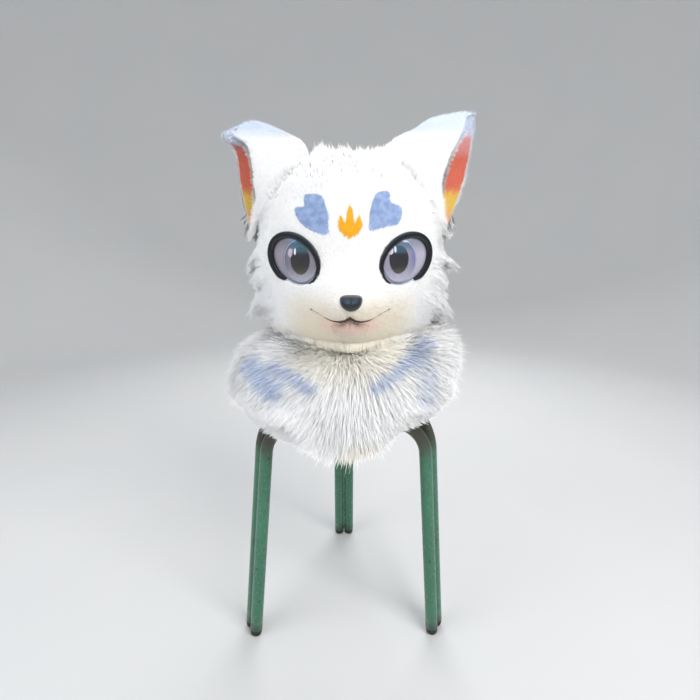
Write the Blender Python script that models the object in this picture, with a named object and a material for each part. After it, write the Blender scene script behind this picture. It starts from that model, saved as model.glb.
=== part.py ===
"""Fursuit head with a fur neck bib, standing on a three-legged tube stool.

Metres, +Z up, the face looks along -Y. The head is a hollow shell glued up from six foam pieces, with
fur skins over it, eyes, nose and mouth set into its face, ears on its crown, and a fur bib that hangs
from its neck over the stool's seat. The origin is under the middle of the whole, on the floor.
"""

import math

import bmesh
import bpy
import numpy as np

GAP = 0.0003                 # between pieces that touch
SIDES = ((-1, "left"), (1, "right"))
HEAD_X = 0.0055              # middle of the head, from the origin
HEAD_Y = -0.0072
STOOL_X = -0.0025            # middle of the seat
STOOL_Y = -0.0072

# Outside of the foam head: one row for each level section, from the neck's lower rim to the crown.
# muzzle is how far the snout stands out of the face at that level.
HEAD_COLUMNS = ("z", "half_width", "front", "back", "muzzle")
HEAD_SECTIONS = (
    (0.4453, 0.100, 0.094, 0.114, 0.000),
    (0.5480, 0.100, 0.094, 0.114, 0.000),
    (0.5570, 0.106, 0.112, 0.120, 0.008),
    (0.5640, 0.113, 0.122, 0.125, 0.022),
    (0.5760, 0.120, 0.128, 0.130, 0.031),
    (0.5910, 0.126, 0.132, 0.135, 0.036),
    (0.6060, 0.131, 0.134, 0.139, 0.039),
    (0.6210, 0.136, 0.134, 0.143, 0.040),
    (0.6395, 0.140, 0.133, 0.147, 0.028),
    (0.6580, 0.143, 0.131, 0.151, 0.012),
    (0.6820, 0.145, 0.129, 0.154, 0.002),
    (0.7080, 0.144, 0.127, 0.156, 0.000),
    (0.7340, 0.140, 0.123, 0.155, 0.000),
    (0.7580, 0.133, 0.116, 0.150, 0.000),
    (0.7800, 0.122, 0.105, 0.141, 0.000),
    (0.7990, 0.106, 0.089, 0.126, 0.000),
    (0.8150, 0.084, 0.067, 0.104, 0.000),
    (0.8260, 0.053, 0.038, 0.070, 0.000),
)
CROWN_Z = 0.8310             # top of the foam
CROWN_BACK = 0.016           # the top lies this far behind the middle of the neck
FACE_FIRST_ROW = 2           # the face's fur goes under the chin
SIDE_FIRST_ROW = 4           # the long fur starts above the neck
HEAD_TURNS = 32              # points round each section
FRONT_CROWDING = 0.45        # sections have more points at the face than at the back
ROUNDNESS = 2.3              # 2 is an ellipse, more is squarer
MUZZLE_HALF_WIDTH = 0.046

# Inside of the foam, where the wearer's head goes: one row for each row of the outside.
INSIDE_COLUMNS = ("z", "half_width", "front", "back")
INSIDE_SECTIONS = (
    (0.4453, 0.0880, 0.0820, 0.1020),
    (0.5480, 0.0880, 0.0820, 0.1020),
    (0.5570, 0.0910, 0.0870, 0.1050),
    (0.5640, 0.0940, 0.0920, 0.1080),
    (0.5760, 0.0990, 0.0980, 0.1130),
    (0.5910, 0.1060, 0.1040, 0.1190),
    (0.6060, 0.1120, 0.1090, 0.1240),
    (0.6210, 0.1165, 0.1125, 0.1280),
    (0.6395, 0.1205, 0.1145, 0.1315),
    (0.6580, 0.1230, 0.1140, 0.1340),
    (0.6820, 0.1250, 0.1125, 0.1370),
    (0.7080, 0.1245, 0.1110, 0.1380),
    (0.7340, 0.1210, 0.1070, 0.1370),
    (0.7580, 0.1130, 0.1000, 0.1300),
    (0.7740, 0.1030, 0.0900, 0.1210),
    (0.7870, 0.0900, 0.0780, 0.1090),
    (0.7980, 0.0700, 0.0580, 0.0880),
    (0.8060, 0.0420, 0.0330, 0.0580),
)
INSIDE_TOP_Z = 0.8110
CUT_PAST = 0.02              # how far a cutter runs past the face that it opens

# The foam is glued up from pieces: bands of rows, each in a front and a back part or whole.
FOAM_JAW_ROW = 2
FOAM_FACE_ROW = 8
FOAM_CROWN_ROW = 14
FOAM_SEAM_COLUMN = 10        # the seam down each side of the head

# Fur skins on the head.
FACE_PILE = 0.005            # clipped short
CROWN_PILE = 0.017
CHEEK_PILE = 0.018
PILE_GROWS_OVER = 3          # cells from the face's edge to the full pile
LOCK_LENGTH = 0.012          # how far a lock's tip stands out of the pile
LOCK_LEAN = 0.014            # and how far it lies down the head
FACE_COLUMNS = 7             # columns each side of the face's middle line
FACE_TOP_ROW = 14
CHEEK_COLUMNS = (7, 11)
CHEEK_ROWS = (4, 9)
CHEEK_TUFT_ROWS = (5, 7)      # rows whose locks stand out twice as far

# Eyes: slanted ovals in a plane that looks outwards.
EYE_X = 0.0810
EYE_Z = 0.6800
EYE_Y = -0.1130
EYE_YAW = math.radians(25)
EYE_SLANT = math.radians(36)
EYE_LONG = 0.0450            # half the oval's length
EYE_SHORT = 0.0345
EYE_DEPTH = 0.016            # how deep the eye sits in its socket
RIM_WIDTH = 0.0065
RIM_PROUD = 0.006
DOME_RISE = 0.007            # how far the lens bulges
IRIS_SHIFT = (0.0090, 0.0010)     # towards the nose, up
IRIS_HALF = (0.0240, 0.0270)
PUPIL_SHIFT = (0.0070, -0.0015)
PUPIL_HALF = (0.0135, 0.0200)
PRINT_THICK = 0.0010
RIM_ROUND = 0.003            # the rim's outer edge is this much lower than its inner one
EYE_TURNS = 20
IRIS_TURNS = 14
PUPIL_TURNS = 12
EYE_CUT_REACH = 0.06         # half the length of the cutter for the socket

# Nose and mouth.
NOSE_Z = 0.6260
NOSE_HALF_WIDTH = 0.0158
NOSE_HALF_HEIGHT = 0.0112
NOSE_PROUD = 0.010
NOSE_SEAT_DEPTH = 0.016
NOSE_TURNS = 14
NOSE_WIDER_ABOVE = 0.30      # share by which its top is wider than its middle, and its foot narrower
NOSE_COLUMNS = ("scale", "proud")
NOSE_LEVELS = ((1.00, 0.004), (0.92, 0.007), (0.70, 0.0085), (0.35, 0.0100))
MOUTH_HALF_WIDTH = 0.031
MOUTH_TOP_Z = 0.6010         # at the middle
MOUTH_CORNER_Z = 0.5985
MOUTH_BOTTOM_Z = 0.5750
MOUTH_DEPTH = 0.014
MOUTH_NOTCH = (0.0045, 0.006)      # height and half width of the cleft under the nose
MOUTH_SAG = 0.0035           # how far the line hangs between the cleft and the corner
MOUTH_STEPS = 12
MOUTH_LINING = 0.003
LIP_DROP = 0.004             # the dark gap between the mouth's line and the lower lip
LIP_BEHIND = 0.002           # the lip's front lies this far in from the fur

# Marks on the forehead, as fur inlays: outlines in width, away from the face's middle, and height.
MARK_THICK = 0.0016
MARK_SEAT = 0.0014           # clear of the flats of the fur under it
MARK_COLUMNS = ("across", "up")
BROW_X = 0.0545
BROW_Z = 0.7430
BROW_LEFT_OUTLINE = (
    (0.0096, 0.0114), (0.0082, 0.0295), (-0.0151, 0.0280), (-0.0210, 0.0069), (-0.0239, -0.0186),
    (-0.0195, -0.0277), (-0.0006, -0.0247), (0.0126, -0.0186), (0.0213, -0.0066), (0.0271, 0.0084),
)
BROW_RIGHT_OUTLINE = (
    (0.0038, 0.0174), (0.0024, 0.0355), (-0.0122, 0.0340), (-0.0224, 0.0235), (-0.0268, 0.0099),
    (-0.0268, -0.0171), (-0.0181, -0.0217), (0.0111, -0.0141), (0.0184, -0.0036), (0.0198, 0.0144),
)
FLAME_Z = 0.7330
FLAME_MIDDLE = (0.0, -0.012)       # a place that sees the whole outline
FLAME_HALF = (
    (0.0000, 0.0236), (0.0037, 0.0129), (0.0050, 0.0030), (0.0066, -0.0010), (0.0132, 0.0088),
    (0.0162, 0.0000), (0.0168, -0.0065), (0.0118, -0.0160), (0.0000, -0.0236),
)

# Ears: one row for each level section. The opening faces sideways, between the front rim and the
# back rim; root is how far the ear reaches in over the crown.
EAR_COLUMNS = ("z", "root", "front_rim", "back_rim", "front_y", "back_y")
EAR_LEFT = (
    (0.722, 0.150, 0.164, 0.178, -0.004, 0.046),
    (0.745, 0.125, 0.163, 0.184, -0.014, 0.058),
    (0.775, 0.100, 0.163, 0.191, -0.020, 0.066),
    (0.805, 0.080, 0.163, 0.195, -0.020, 0.068),
    (0.835, 0.066, 0.165, 0.195, -0.014, 0.064),
    (0.860, 0.084, 0.171, 0.196, -0.004, 0.054),
    (0.882, 0.120, 0.180, 0.198, 0.008, 0.044),
    (0.897, 0.158, 0.188, 0.200, 0.018, 0.036),
)
EAR_LEFT_TIP = (0.216, 0.028, 0.889)
EAR_RIGHT = (
    (0.722, 0.146, 0.158, 0.168, -0.004, 0.046),
    (0.745, 0.122, 0.157, 0.177, -0.014, 0.058),
    (0.775, 0.098, 0.157, 0.187, -0.020, 0.066),
    (0.805, 0.078, 0.160, 0.196, -0.020, 0.068),
    (0.835, 0.054, 0.168, 0.202, -0.014, 0.064),
    (0.860, 0.064, 0.178, 0.205, -0.004, 0.054),
    (0.882, 0.102, 0.186, 0.205, 0.008, 0.044),
    (0.903, 0.136, 0.193, 0.204, 0.018, 0.036),
)
EAR_RIGHT_TIP = (0.203, 0.028, 0.913)
EAR_WALL = 0.013
EAR_WALL_SHARE = 0.28        # and at most this share of a section's depth
EAR_BULGE = 0.18             # how far the ear's front and back swell, as a share of its depth
EAR_SWELL_AT_ROOT = 0.4      # shares of the bulge at the root, and two thirds out in front and behind
EAR_SWELL_FRONT = 0.7
EAR_SWELL_BACK = 0.8
EAR_SCOOP = 0.030            # depth of the hollow behind the opening
EAR_HOLLOW_STEPS = 4
EAR_LIP_FRONT = 0.2          # how far the hollow's ends lie in from the rims, in walls
EAR_LIP_BACK = 0.3
EAR_LIP_AHEAD = 0.8
EAR_LINING = 0.0025
EAR_HOLE_SPARE = 0.0009      # the fur's hole is this much wider than the ear
EAR_NEAR_X = 0.045           # no locks stand here, round the ears' roots
EAR_NEAR_Y = (-0.060, 0.085)
EAR_NEAR_Z = 0.690

# Bib: a cloth cape with fur outside, one row for each level section from the neck edge to the hem.
BIB_COLUMNS = ("z", "half_width", "front", "back", "pile")
BIB_SECTIONS = (
    (0.5440, 0.1018, 0.0958, 0.1158, 0.004),
    (0.5400, 0.1300, 0.1230, 0.1360, 0.007),
    (0.5260, 0.1560, 0.1440, 0.1510, 0.016),
    (0.4980, 0.1700, 0.1570, 0.1600, 0.020),
    (0.4640, 0.1700, 0.1610, 0.1620, 0.020),
    (0.4330, 0.1600, 0.1590, 0.1590, 0.012),
)
BIB_TURNS = 26
BIB_CLOTH = 0.003
BIB_X = -0.008               # the bib hangs further down on the left
BIB_TILT = 0.09
BIB_FRONT_DIP = 0.020        # and in front
BIB_LOCK = 0.014
BIB_LOCK_DROP = 0.020
BIB_HEM_DROP = 0.036         # from the middle of the last row, past the hem

# Stool: three bent tubes, each an upturned U that joins two legs, under a round seat.
TUBE_RADIUS = 0.011
TUBE_BEND = 0.060
SEAT_RADIUS = 0.150
SEAT_THICK = 0.022
SEAT_TOP = 0.4450
LEG_COLUMNS = ("angle_deg", "foot_radius", "top_radius")
LEGS = {
    "left": (210, 0.198, 0.156),
    "right": (330, 0.191, 0.160),
    "back": (92, 0.196, 0.158),
}
TUBES = {"front": ("left", "right"), "right": ("right", "back"), "left": ("back", "left")}
FOOT_HEIGHT = 0.012
FOOT_FLAT = 0.0060           # radius of the flat that stands on the floor
FOOT_WAIST = 0.0101
FOOT_TOP = 0.0107
FOOT_TURNS = 8
BEND_STEPS = 5
SEAT_TURNS = 20
SEAT_EDGE = 0.004            # rounding of the seat's edge

COLOURS = {
    "foam": ((0.62, 0.62, 0.60), 0.9, 0.0),
    "white_fur": ((0.86, 0.86, 0.86), 0.9, 0.0),
    "long_fur": ((0.82, 0.83, 0.85), 0.9, 0.0),
    "blue_fur": ((0.33, 0.40, 0.66), 0.9, 0.0),
    "gold_fur": ((0.87, 0.44, 0.02), 0.8, 0.0),
    "coral": ((0.80, 0.22, 0.18), 0.9, 0.0),
    "rim": ((0.01, 0.01, 0.012), 0.15, 0.0),
    "sclera": ((0.55, 0.53, 0.66), 0.2, 0.0),
    "iris": ((0.28, 0.28, 0.38), 0.2, 0.0),
    "pupil": ((0.01, 0.01, 0.014), 0.1, 0.0),
    "nose": ((0.012, 0.012, 0.014), 0.2, 0.0),
    "mouth": ((0.03, 0.015, 0.015), 0.8, 0.0),
    "lip": ((0.75, 0.42, 0.40), 0.8, 0.0),
    "cloth": ((0.72, 0.70, 0.68), 0.9, 0.0),
    "paint": ((0.05, 0.23, 0.13), 0.35, 0.0),
    "seat": ((0.05, 0.20, 0.12), 0.5, 0.0),
    "rubber": ((0.02, 0.02, 0.02), 0.8, 0.0),
}


def clear_scene():
    for item in list(bpy.data.objects):
        bpy.data.objects.remove(item, do_unlink=True)


def material(name):
    found = bpy.data.materials.get(name)
    if found:
        return found
    colour, roughness, metallic = COLOURS[name]
    made = bpy.data.materials.new(name)
    made.use_nodes = True
    shader = made.node_tree.nodes["Principled BSDF"]
    shader.inputs["Base Color"].default_value = (*colour, 1.0)
    shader.inputs["Roughness"].default_value = roughness
    shader.inputs["Metallic"].default_value = metallic
    return made


def add_object(name, points, faces, finish, smooth=True):
    """Make one closed mesh object with its faces pointing out."""
    mesh = bpy.data.meshes.new(name)
    mesh.from_pydata([tuple(map(float, p)) for p in points], [], faces)
    work = bmesh.new()
    work.from_mesh(mesh)
    bmesh.ops.recalc_face_normals(work, faces=work.faces)
    bmesh.ops.triangulate(work, faces=work.faces)
    work.to_mesh(mesh)
    work.free()
    if smooth:
        mesh.shade_smooth()
        mesh.set_sharp_from_angle(angle=math.radians(40))
    mesh.materials.append(material(finish))
    made = bpy.data.objects.new(name, mesh)
    bpy.context.collection.objects.link(made)
    return made


def hide_cutter(cutter):
    cutter.hide_render = True
    cutter.display_type = "WIRE"
    return cutter


def cut(target, cutter):
    trim = target.modifiers.new("cut by " + cutter.name, "BOOLEAN")
    trim.operation = "DIFFERENCE"
    trim.solver = "EXACT"
    trim.object = cutter


def rows_of(table, columns):
    return [dict(zip(columns, row)) for row in table]


def turns(count, crowding=0.0):
    """Angles round a section from the middle of the face, closer together at the front."""
    even = 2 * math.pi * np.arange(count) / count
    return even - crowding * np.sin(even)


def level_section(angles, z, half_width, front, back, muzzle=0.0):
    """Points of one level section: a squarish oval with the snout's bump on its front."""
    side = np.sin(angles)
    ahead = np.cos(angles)
    power = 2 / ROUNDNESS
    x = half_width * np.sign(side) * np.abs(side) ** power
    reach = np.where(ahead > 0, front, back)
    y = -reach * np.sign(ahead) * np.abs(ahead) ** power
    y = y - muzzle * np.exp(-(x / MUZZLE_HALF_WIDTH) ** 2) * (ahead > 0)
    return np.stack([x + HEAD_X, y + HEAD_Y, np.full_like(x, z)], axis=1)


def normals_of(grid, wraps):
    """Outward directions at the points of a grid of rows and columns."""
    if wraps:
        across = np.roll(grid, -1, axis=1) - np.roll(grid, 1, axis=1)
    else:
        across = np.gradient(grid, axis=1)
    upward = np.gradient(grid, axis=0)
    out = np.cross(across, upward)
    return out / np.maximum(np.linalg.norm(out, axis=2, keepdims=True), 1e-9)


def head_grid():
    angles = turns(HEAD_TURNS, FRONT_CROWDING)
    rows = [level_section(angles, **row) for row in rows_of(HEAD_SECTIONS, HEAD_COLUMNS)]
    return np.array(rows)


def closed_loft(rings, top, bottom=None):
    """Points and faces of a loft through rings, closed with a point above and a flat or a point below."""
    count = len(rings[0])
    points = [p for ring in rings for p in ring]
    faces = []
    for row in range(len(rings) - 1):
        for step in range(count):
            after = (step + 1) % count
            low = row * count
            faces.append((low + step, low + after, low + count + after, low + count + step))
    last = (len(rings) - 1) * count
    points.append(top)
    peak = len(points) - 1
    faces += [(last + step, last + (step + 1) % count, peak) for step in range(count)]
    if bottom is None:
        faces.append(tuple(range(count))[::-1])
    else:
        points.append(bottom)
        foot = len(points) - 1
        faces += [((step + 1) % count, step, foot) for step in range(count)]
    return points, faces


def slab(name, cells, rows, columns, place, finish, lock=None):
    """A closed slab over some cells of a grid that wraps round; a cell of the last row joins the pole.

    place gives a point of the under or the over face for a row and a column, or for the pole. Along
    the slab's border both faces are drawn in by GAP. lock gives the offset of a tip that stands on
    the middle of a cell, or None.
    """
    last = rows - 1
    owned = set(cells)
    points = []
    faces = []
    index = {}

    def corners(row, column):
        after = (column + 1) % columns
        if row == last:
            return [(row, column), (row, after), "pole"]
        return [(row, column), (row, after), (row + 1, after), (row + 1, column)]

    edges = {}
    for cell in owned:
        ring = corners(*cell)
        for start, end in zip(ring, ring[1:] + ring[:1]):
            edges[(start, end)] = cell
    border = [(start, end) for start, end in edges if (end, start) not in edges]
    inward = {}
    for start, end in border:
        middle = np.mean([place("over", key) for key in corners(*edges[(start, end)])], axis=0)
        for key in (start, end):
            inward.setdefault(key, []).append(middle)

    def vertex(layer, key):
        if (layer, key) not in index:
            point = place(layer, key)
            if key in inward:
                pull = np.mean(inward[key], axis=0) - place("over", key)
                point = point + pull / np.linalg.norm(pull) * GAP
            index[(layer, key)] = len(points)
            points.append(point)
        return index[(layer, key)]

    for cell in sorted(owned):
        ring = corners(*cell)
        over = [vertex("over", key) for key in ring]
        under = [vertex("under", key) for key in ring]
        faces.append(tuple(reversed(under)))
        offset = lock(*cell) if lock else None
        if offset is None:
            faces.append(tuple(over))
            continue
        points.append(np.mean([points[i] for i in over], axis=0) + offset)
        tip = len(points) - 1
        faces += [(a, b, tip) for a, b in zip(over, over[1:] + over[:1])]
    for start, end in border:
        faces.append((vertex("under", start), vertex("under", end), vertex("over", end),
                      vertex("over", start)))
    return add_object(name, points, faces, finish, smooth=False)


def head_foam(grid):
    """The foam pieces of the hollow head: neck, jaw, nape, face, back and crown."""
    angles = turns(HEAD_TURNS, FRONT_CROWDING)
    inside = [level_section(angles, **row) for row in rows_of(INSIDE_SECTIONS, INSIDE_COLUMNS)]
    poles = {"over": (HEAD_X, HEAD_Y + CROWN_BACK, CROWN_Z),
             "under": (HEAD_X, HEAD_Y + CROWN_BACK, INSIDE_TOP_Z)}

    def place(layer, key):
        if key == "pole":
            return np.array(poles[layer])
        row, column = key
        return grid[key] if layer == "over" else inside[row][column]

    last = len(HEAD_SECTIONS) - 1
    front = [c for c in range(HEAD_TURNS) if min(c, HEAD_TURNS - 1 - c) < FOAM_SEAM_COLUMN]
    back = [c for c in range(HEAD_TURNS) if c not in front]
    whole = front + back
    bands = (
        ("foam_neck", whole, 0, FOAM_JAW_ROW),
        ("foam_jaw", front, FOAM_JAW_ROW, FOAM_FACE_ROW),
        ("foam_nape", back, FOAM_JAW_ROW, FOAM_FACE_ROW),
        ("foam_face", front, FOAM_FACE_ROW, FOAM_CROWN_ROW),
        ("foam_back", back, FOAM_FACE_ROW, FOAM_CROWN_ROW),
        ("foam_crown", whole, FOAM_CROWN_ROW, last + 1),
    )
    pieces = {}
    for name, columns, low, high in bands:
        cells = [(row, column) for row in range(low, high) for column in columns]
        pieces[name] = slab(name, cells, last + 1, HEAD_TURNS, place, "foam")
    return pieces


def head_form(grid, spare):
    """The foam's outer form without its hollow, a little larger, to cut what is glued on it."""
    swollen = grid + normals_of(grid, True) * spare
    points, faces = closed_loft(list(swollen), (HEAD_X, HEAD_Y + CROWN_BACK, CROWN_Z + spare))
    return hide_cutter(add_object("head_form_cutter", points, faces, "foam"))


def skin(name, grid, cells, finish, pile, lock, pole=None):
    """Fur skin over some cells of a grid, whose outer face rises in leaning locks.

    pile and lock are functions of a row and a column: the skin's thickness there, and the tip's
    offset from the cell's middle.
    """
    out = normals_of(grid, True)
    rows, columns = grid.shape[:2]

    def place(layer, key):
        if key == "pole":
            base, away, thick = np.array(pole), np.array((0.0, 0.0, 1.0)), pile(rows - 1, 0)
        else:
            base, away, thick = grid[key], out[key], pile(*key)
        return base + away * (GAP if layer == "under" else GAP + thick)

    return slab(name, cells, rows, columns, place, finish, lock)


def head_furs(grid):
    """Face, cheek and crown skins, which share the foam's grid; the face's and the crown's come back."""
    out = normals_of(grid, True)
    last = grid.shape[0] - 1
    face, left, right, crown = [], [], [], []
    for row in range(FACE_FIRST_ROW, last + 1):
        for column in range(HEAD_TURNS):
            side = min(column, HEAD_TURNS - 1 - column)
            if side < FACE_COLUMNS and row < FACE_TOP_ROW:
                face.append((row, column))
            elif row < SIDE_FIRST_ROW:
                continue
            elif side < CHEEK_COLUMNS[1] and CHEEK_ROWS[0] <= row < CHEEK_ROWS[1]:
                (right if column < HEAD_TURNS / 2 else left).append((row, column))
            else:
                crown.append((row, column))

    def lean(row, column, height, drop):
        away = out[row, column]
        down = np.array((0.0, 0.0, -1.0))
        down = down - away * down.dot(away)
        return away * height + down * drop

    def near_ear(row, column):
        x, y, z = grid[row, column] - np.array((HEAD_X, HEAD_Y, 0.0))
        return abs(x) > EAR_NEAR_X and EAR_NEAR_Y[0] < y < EAR_NEAR_Y[1] and z > EAR_NEAR_Z

    def long_lock(row, column):
        if near_ear(row, column):
            return None
        high = row > FACE_TOP_ROW
        low = row == SIDE_FIRST_ROW
        stagger = 0.7 + 0.3 * ((row * 3 + column * 5) % 4) / 3
        if high:
            return out[row, column] * LOCK_LENGTH * stagger
        return lean(row, column, LOCK_LENGTH * stagger, 0.0 if low else LOCK_LEAN)

    def cheek_lock(row, column):
        reach = 2.0 if row in CHEEK_TUFT_ROWS else 1.0
        low = row == SIDE_FIRST_ROW
        return lean(row, column, LOCK_LENGTH * reach, 0.0 if low else LOCK_LEAN * 0.7)

    def graded(full):
        """Pile that grows from the face's short fur to the full length over a few cells."""
        def pile(row, column):
            side = min(column, HEAD_TURNS - column)
            steps = max(side - FACE_COLUMNS, row - FACE_TOP_ROW, 0)
            return FACE_PILE + (full - FACE_PILE) * min(1.0, steps / PILE_GROWS_OVER)
        return pile

    pole = (HEAD_X, HEAD_Y + CROWN_BACK, CROWN_Z)
    skin("cheek_fur_left", grid, left, "long_fur", graded(CHEEK_PILE), cheek_lock)
    skin("cheek_fur_right", grid, right, "long_fur", graded(CHEEK_PILE), cheek_lock)
    crown_skin = skin("crown_fur", grid, crown, "long_fur", graded(CROWN_PILE), long_lock, pole)
    face_skin = skin("face_fur", grid, face, "white_fur", lambda row, column: FACE_PILE,
                     lambda row, column: None)
    return face_skin, crown_skin


def oval(half_long, half_short, slant, steps, shift=(0.0, 0.0)):
    """Points of a slanted oval in a plane, anticlockwise."""
    around = 2 * math.pi * np.arange(steps) / steps
    u = half_long * np.cos(around)
    v = half_short * np.sin(around)
    cos, sin = math.cos(slant), math.sin(slant)
    return [(a * cos - b * sin + shift[0], a * sin + b * cos + shift[1]) for a, b in zip(u, v)]


def eye_place(side):
    """A function from the eye's own width, height and depth to the world. Side is -1 or 1."""
    outwards = np.array((side * math.sin(EYE_YAW), -math.cos(EYE_YAW), 0.0))
    towards_nose = np.array((-side * math.cos(EYE_YAW), -math.sin(EYE_YAW), 0.0))
    middle = np.array((HEAD_X + side * EYE_X, HEAD_Y + EYE_Y, EYE_Z))
    up = np.array((0.0, 0.0, 1.0))
    return lambda u, v, w: middle + towards_nose * u + up * v + outwards * w


def dome(u, v):
    """Height of the lens over its plane."""
    cos, sin = math.cos(EYE_SLANT), math.sin(EYE_SLANT)
    along = (u * cos - v * sin) / EYE_LONG
    across = (u * sin + v * cos) / EYE_SHORT
    return DOME_RISE * max(0.0, 1 - along * along - across * across)


def kept_in_rim(outline):
    """The outline with what would lie under the rim drawn back to the rim's inner edge."""
    cos, sin = math.cos(EYE_SLANT), math.sin(EYE_SLANT)
    kept = []
    for u, v in outline:
        along = (u * cos - v * sin) / (EYE_LONG - RIM_WIDTH - 2 * GAP)
        across = (u * sin + v * cos) / (EYE_SHORT - RIM_WIDTH - 2 * GAP)
        over = max(1.0, math.hypot(along, across))
        kept.append((u / over, v / over))
    return kept


def layered_plate(name, place, outline, under, over, finish, middle=None, rings=(1.0, 0.5)):
    """A plate with a given outline whose two faces follow heights given as functions."""
    if middle is None:
        middle = np.mean(outline, axis=0)
    count = len(outline)
    points = []
    faces = []

    def add_face(height, turned):
        first = len(points)
        for scale in rings:
            for u, v in outline:
                pu, pv = middle + (np.array((u, v)) - middle) * scale
                points.append(place(pu, pv, height(pu, pv)))
        points.append(place(*middle, height(*middle)))
        peak = len(points) - 1
        for ring in range(len(rings) - 1):
            for step in range(count):
                after = (step + 1) % count
                low = first + ring * count
                quad = (low + step, low + after, low + count + after, low + count + step)
                faces.append(quad[::-1] if turned else quad)
        inner = first + (len(rings) - 1) * count
        for step in range(count):
            tri = (inner + step, inner + (step + 1) % count, peak)
            faces.append(tri[::-1] if turned else tri)
        return first

    top = add_face(over, False)
    low = add_face(under, True)
    for step in range(count):
        after = (step + 1) % count
        faces.append((low + step, low + after, top + after, top + step))
    return add_object(name, points, faces, finish)


def eye(side, label):
    """One eye: a black rim in the socket, the domed white, and the iris and pupil printed on it.

    What comes back is the cutter for the socket.
    """
    place = eye_place(side)
    slant = -EYE_SLANT
    outer = oval(EYE_LONG, EYE_SHORT, slant, EYE_TURNS)
    inner = oval(EYE_LONG - RIM_WIDTH, EYE_SHORT - RIM_WIDTH, slant, EYE_TURNS)
    white = oval(EYE_LONG - RIM_WIDTH - GAP, EYE_SHORT - RIM_WIDTH - GAP, slant, EYE_TURNS)
    levels = ((outer, -EYE_DEPTH), (outer, RIM_PROUD - RIM_ROUND), (inner, RIM_PROUD),
              (inner, -EYE_DEPTH))
    points = []
    faces = []
    for ring, depth in levels:
        points += [place(u, v, depth) for u, v in ring]
    for level in range(len(levels)):
        for step in range(EYE_TURNS):
            after = (step + 1) % EYE_TURNS
            low = level * EYE_TURNS
            high = (level + 1) % len(levels) * EYE_TURNS
            faces.append((low + step, low + after, high + after, high + step))
    add_object("eye_rim_" + label, points, faces, "rim")
    layered_plate("eye_white_" + label, place, white, lambda u, v: GAP - EYE_DEPTH, dome, "sclera")
    iris_low = GAP
    iris = kept_in_rim(oval(*IRIS_HALF, 0, IRIS_TURNS, IRIS_SHIFT))
    layered_plate("iris_" + label, place, iris, lambda u, v: dome(u, v) + iris_low,
                  lambda u, v: dome(u, v) + iris_low + PRINT_THICK, "iris")
    pupil_low = iris_low + PRINT_THICK + 2 * GAP
    pupil = kept_in_rim(oval(*PUPIL_HALF, 0, PUPIL_TURNS, PUPIL_SHIFT))
    layered_plate("pupil_" + label, place, pupil, lambda u, v: dome(u, v) + pupil_low,
                  lambda u, v: dome(u, v) + pupil_low + PRINT_THICK, "pupil")
    socket = oval(EYE_LONG + GAP, EYE_SHORT + GAP, slant, EYE_TURNS)
    points, faces = prism([place(u, v, -EYE_CUT_REACH) for u, v in socket],
                          [place(u, v, EYE_CUT_REACH) for u, v in socket])
    return hide_cutter(add_object("socket_cutter_" + label, points, faces, "foam"))


def prism(low, high):
    """Points and faces between two like outlines."""
    count = len(low)
    points = list(low) + list(high)
    faces = [tuple(range(count)), tuple(range(count, 2 * count))[::-1]]
    for step in range(count):
        after = (step + 1) % count
        faces.append((step, step + count, after + count, after))
    return points, faces


def front_prism(name, outline, front_y, back_y):
    """A hidden prism along Y with an outline in X and Z, to cut a seat in the face."""
    low = [(HEAD_X + x, back_y, z) for x, z in outline]
    high = [(HEAD_X + x, front_y, z) for x, z in outline]
    points, faces = prism(low, high)
    return hide_cutter(add_object(name, points, faces, "foam"))


def table_value(z, name):
    """A column of the head's table at any height, straight between its rows."""
    rows = rows_of(HEAD_SECTIONS, HEAD_COLUMNS)
    return float(np.interp(z, [row["z"] for row in rows], [row[name] for row in rows]))


def face_y(x, z):
    """Where the foam's front lies at a place across and up the face, from the head's middle."""
    half_width = table_value(z, "half_width")
    front = table_value(z, "front")
    level = max(0.0, 1 - abs(x / half_width) ** ROUNDNESS) ** (1 / ROUNDNESS)
    return HEAD_Y - front * level - table_value(z, "muzzle") * math.exp(-(x / MUZZLE_HALF_WIDTH) ** 2)


def nose_outline(scale):
    """A rounded triangle with its point down."""
    around = 2 * math.pi * np.arange(NOSE_TURNS) / NOSE_TURNS
    widen = 1 + NOSE_WIDER_ABOVE * np.sin(around)
    x = np.cos(around) * widen
    x *= NOSE_HALF_WIDTH / x.max()
    z = NOSE_HALF_HEIGHT * np.sin(around)
    return [(a * scale, NOSE_Z + b * scale) for a, b in zip(x, z)]


def nose():
    """Cast nose, with a stem glued in a seat in the snout; the seat's cutter comes back."""
    front = face_y(0, NOSE_Z) - FACE_PILE
    levels = [(1.0, NOSE_SEAT_DEPTH - GAP)]
    levels += [(row["scale"], -row["proud"]) for row in rows_of(NOSE_LEVELS, NOSE_COLUMNS)]
    rings = [[(HEAD_X + x, front + depth, z) for x, z in nose_outline(scale)] for scale, depth in levels]
    points, faces = closed_loft(rings, (HEAD_X, front - NOSE_PROUD - GAP, NOSE_Z))
    add_object("nose", points, faces, "nose")
    spare = 1 + 2 * GAP / NOSE_HALF_HEIGHT
    return front_prism("nose_cutter", nose_outline(spare), front - CUT_PAST, front + NOSE_SEAT_DEPTH)


def mouth_line(x):
    """Height of the mouth's upper edge: a shallow smile with a small notch up in the middle."""
    far = abs(x) / MOUTH_HALF_WIDTH
    notch_height, notch_half_width = MOUTH_NOTCH
    notch = notch_height * math.exp(-(x / notch_half_width) ** 2)
    sag = MOUTH_SAG * math.sin(math.pi * min(1.0, far))
    return MOUTH_TOP_Z + (MOUTH_CORNER_Z - MOUTH_TOP_Z) * far - sag + notch


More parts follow.
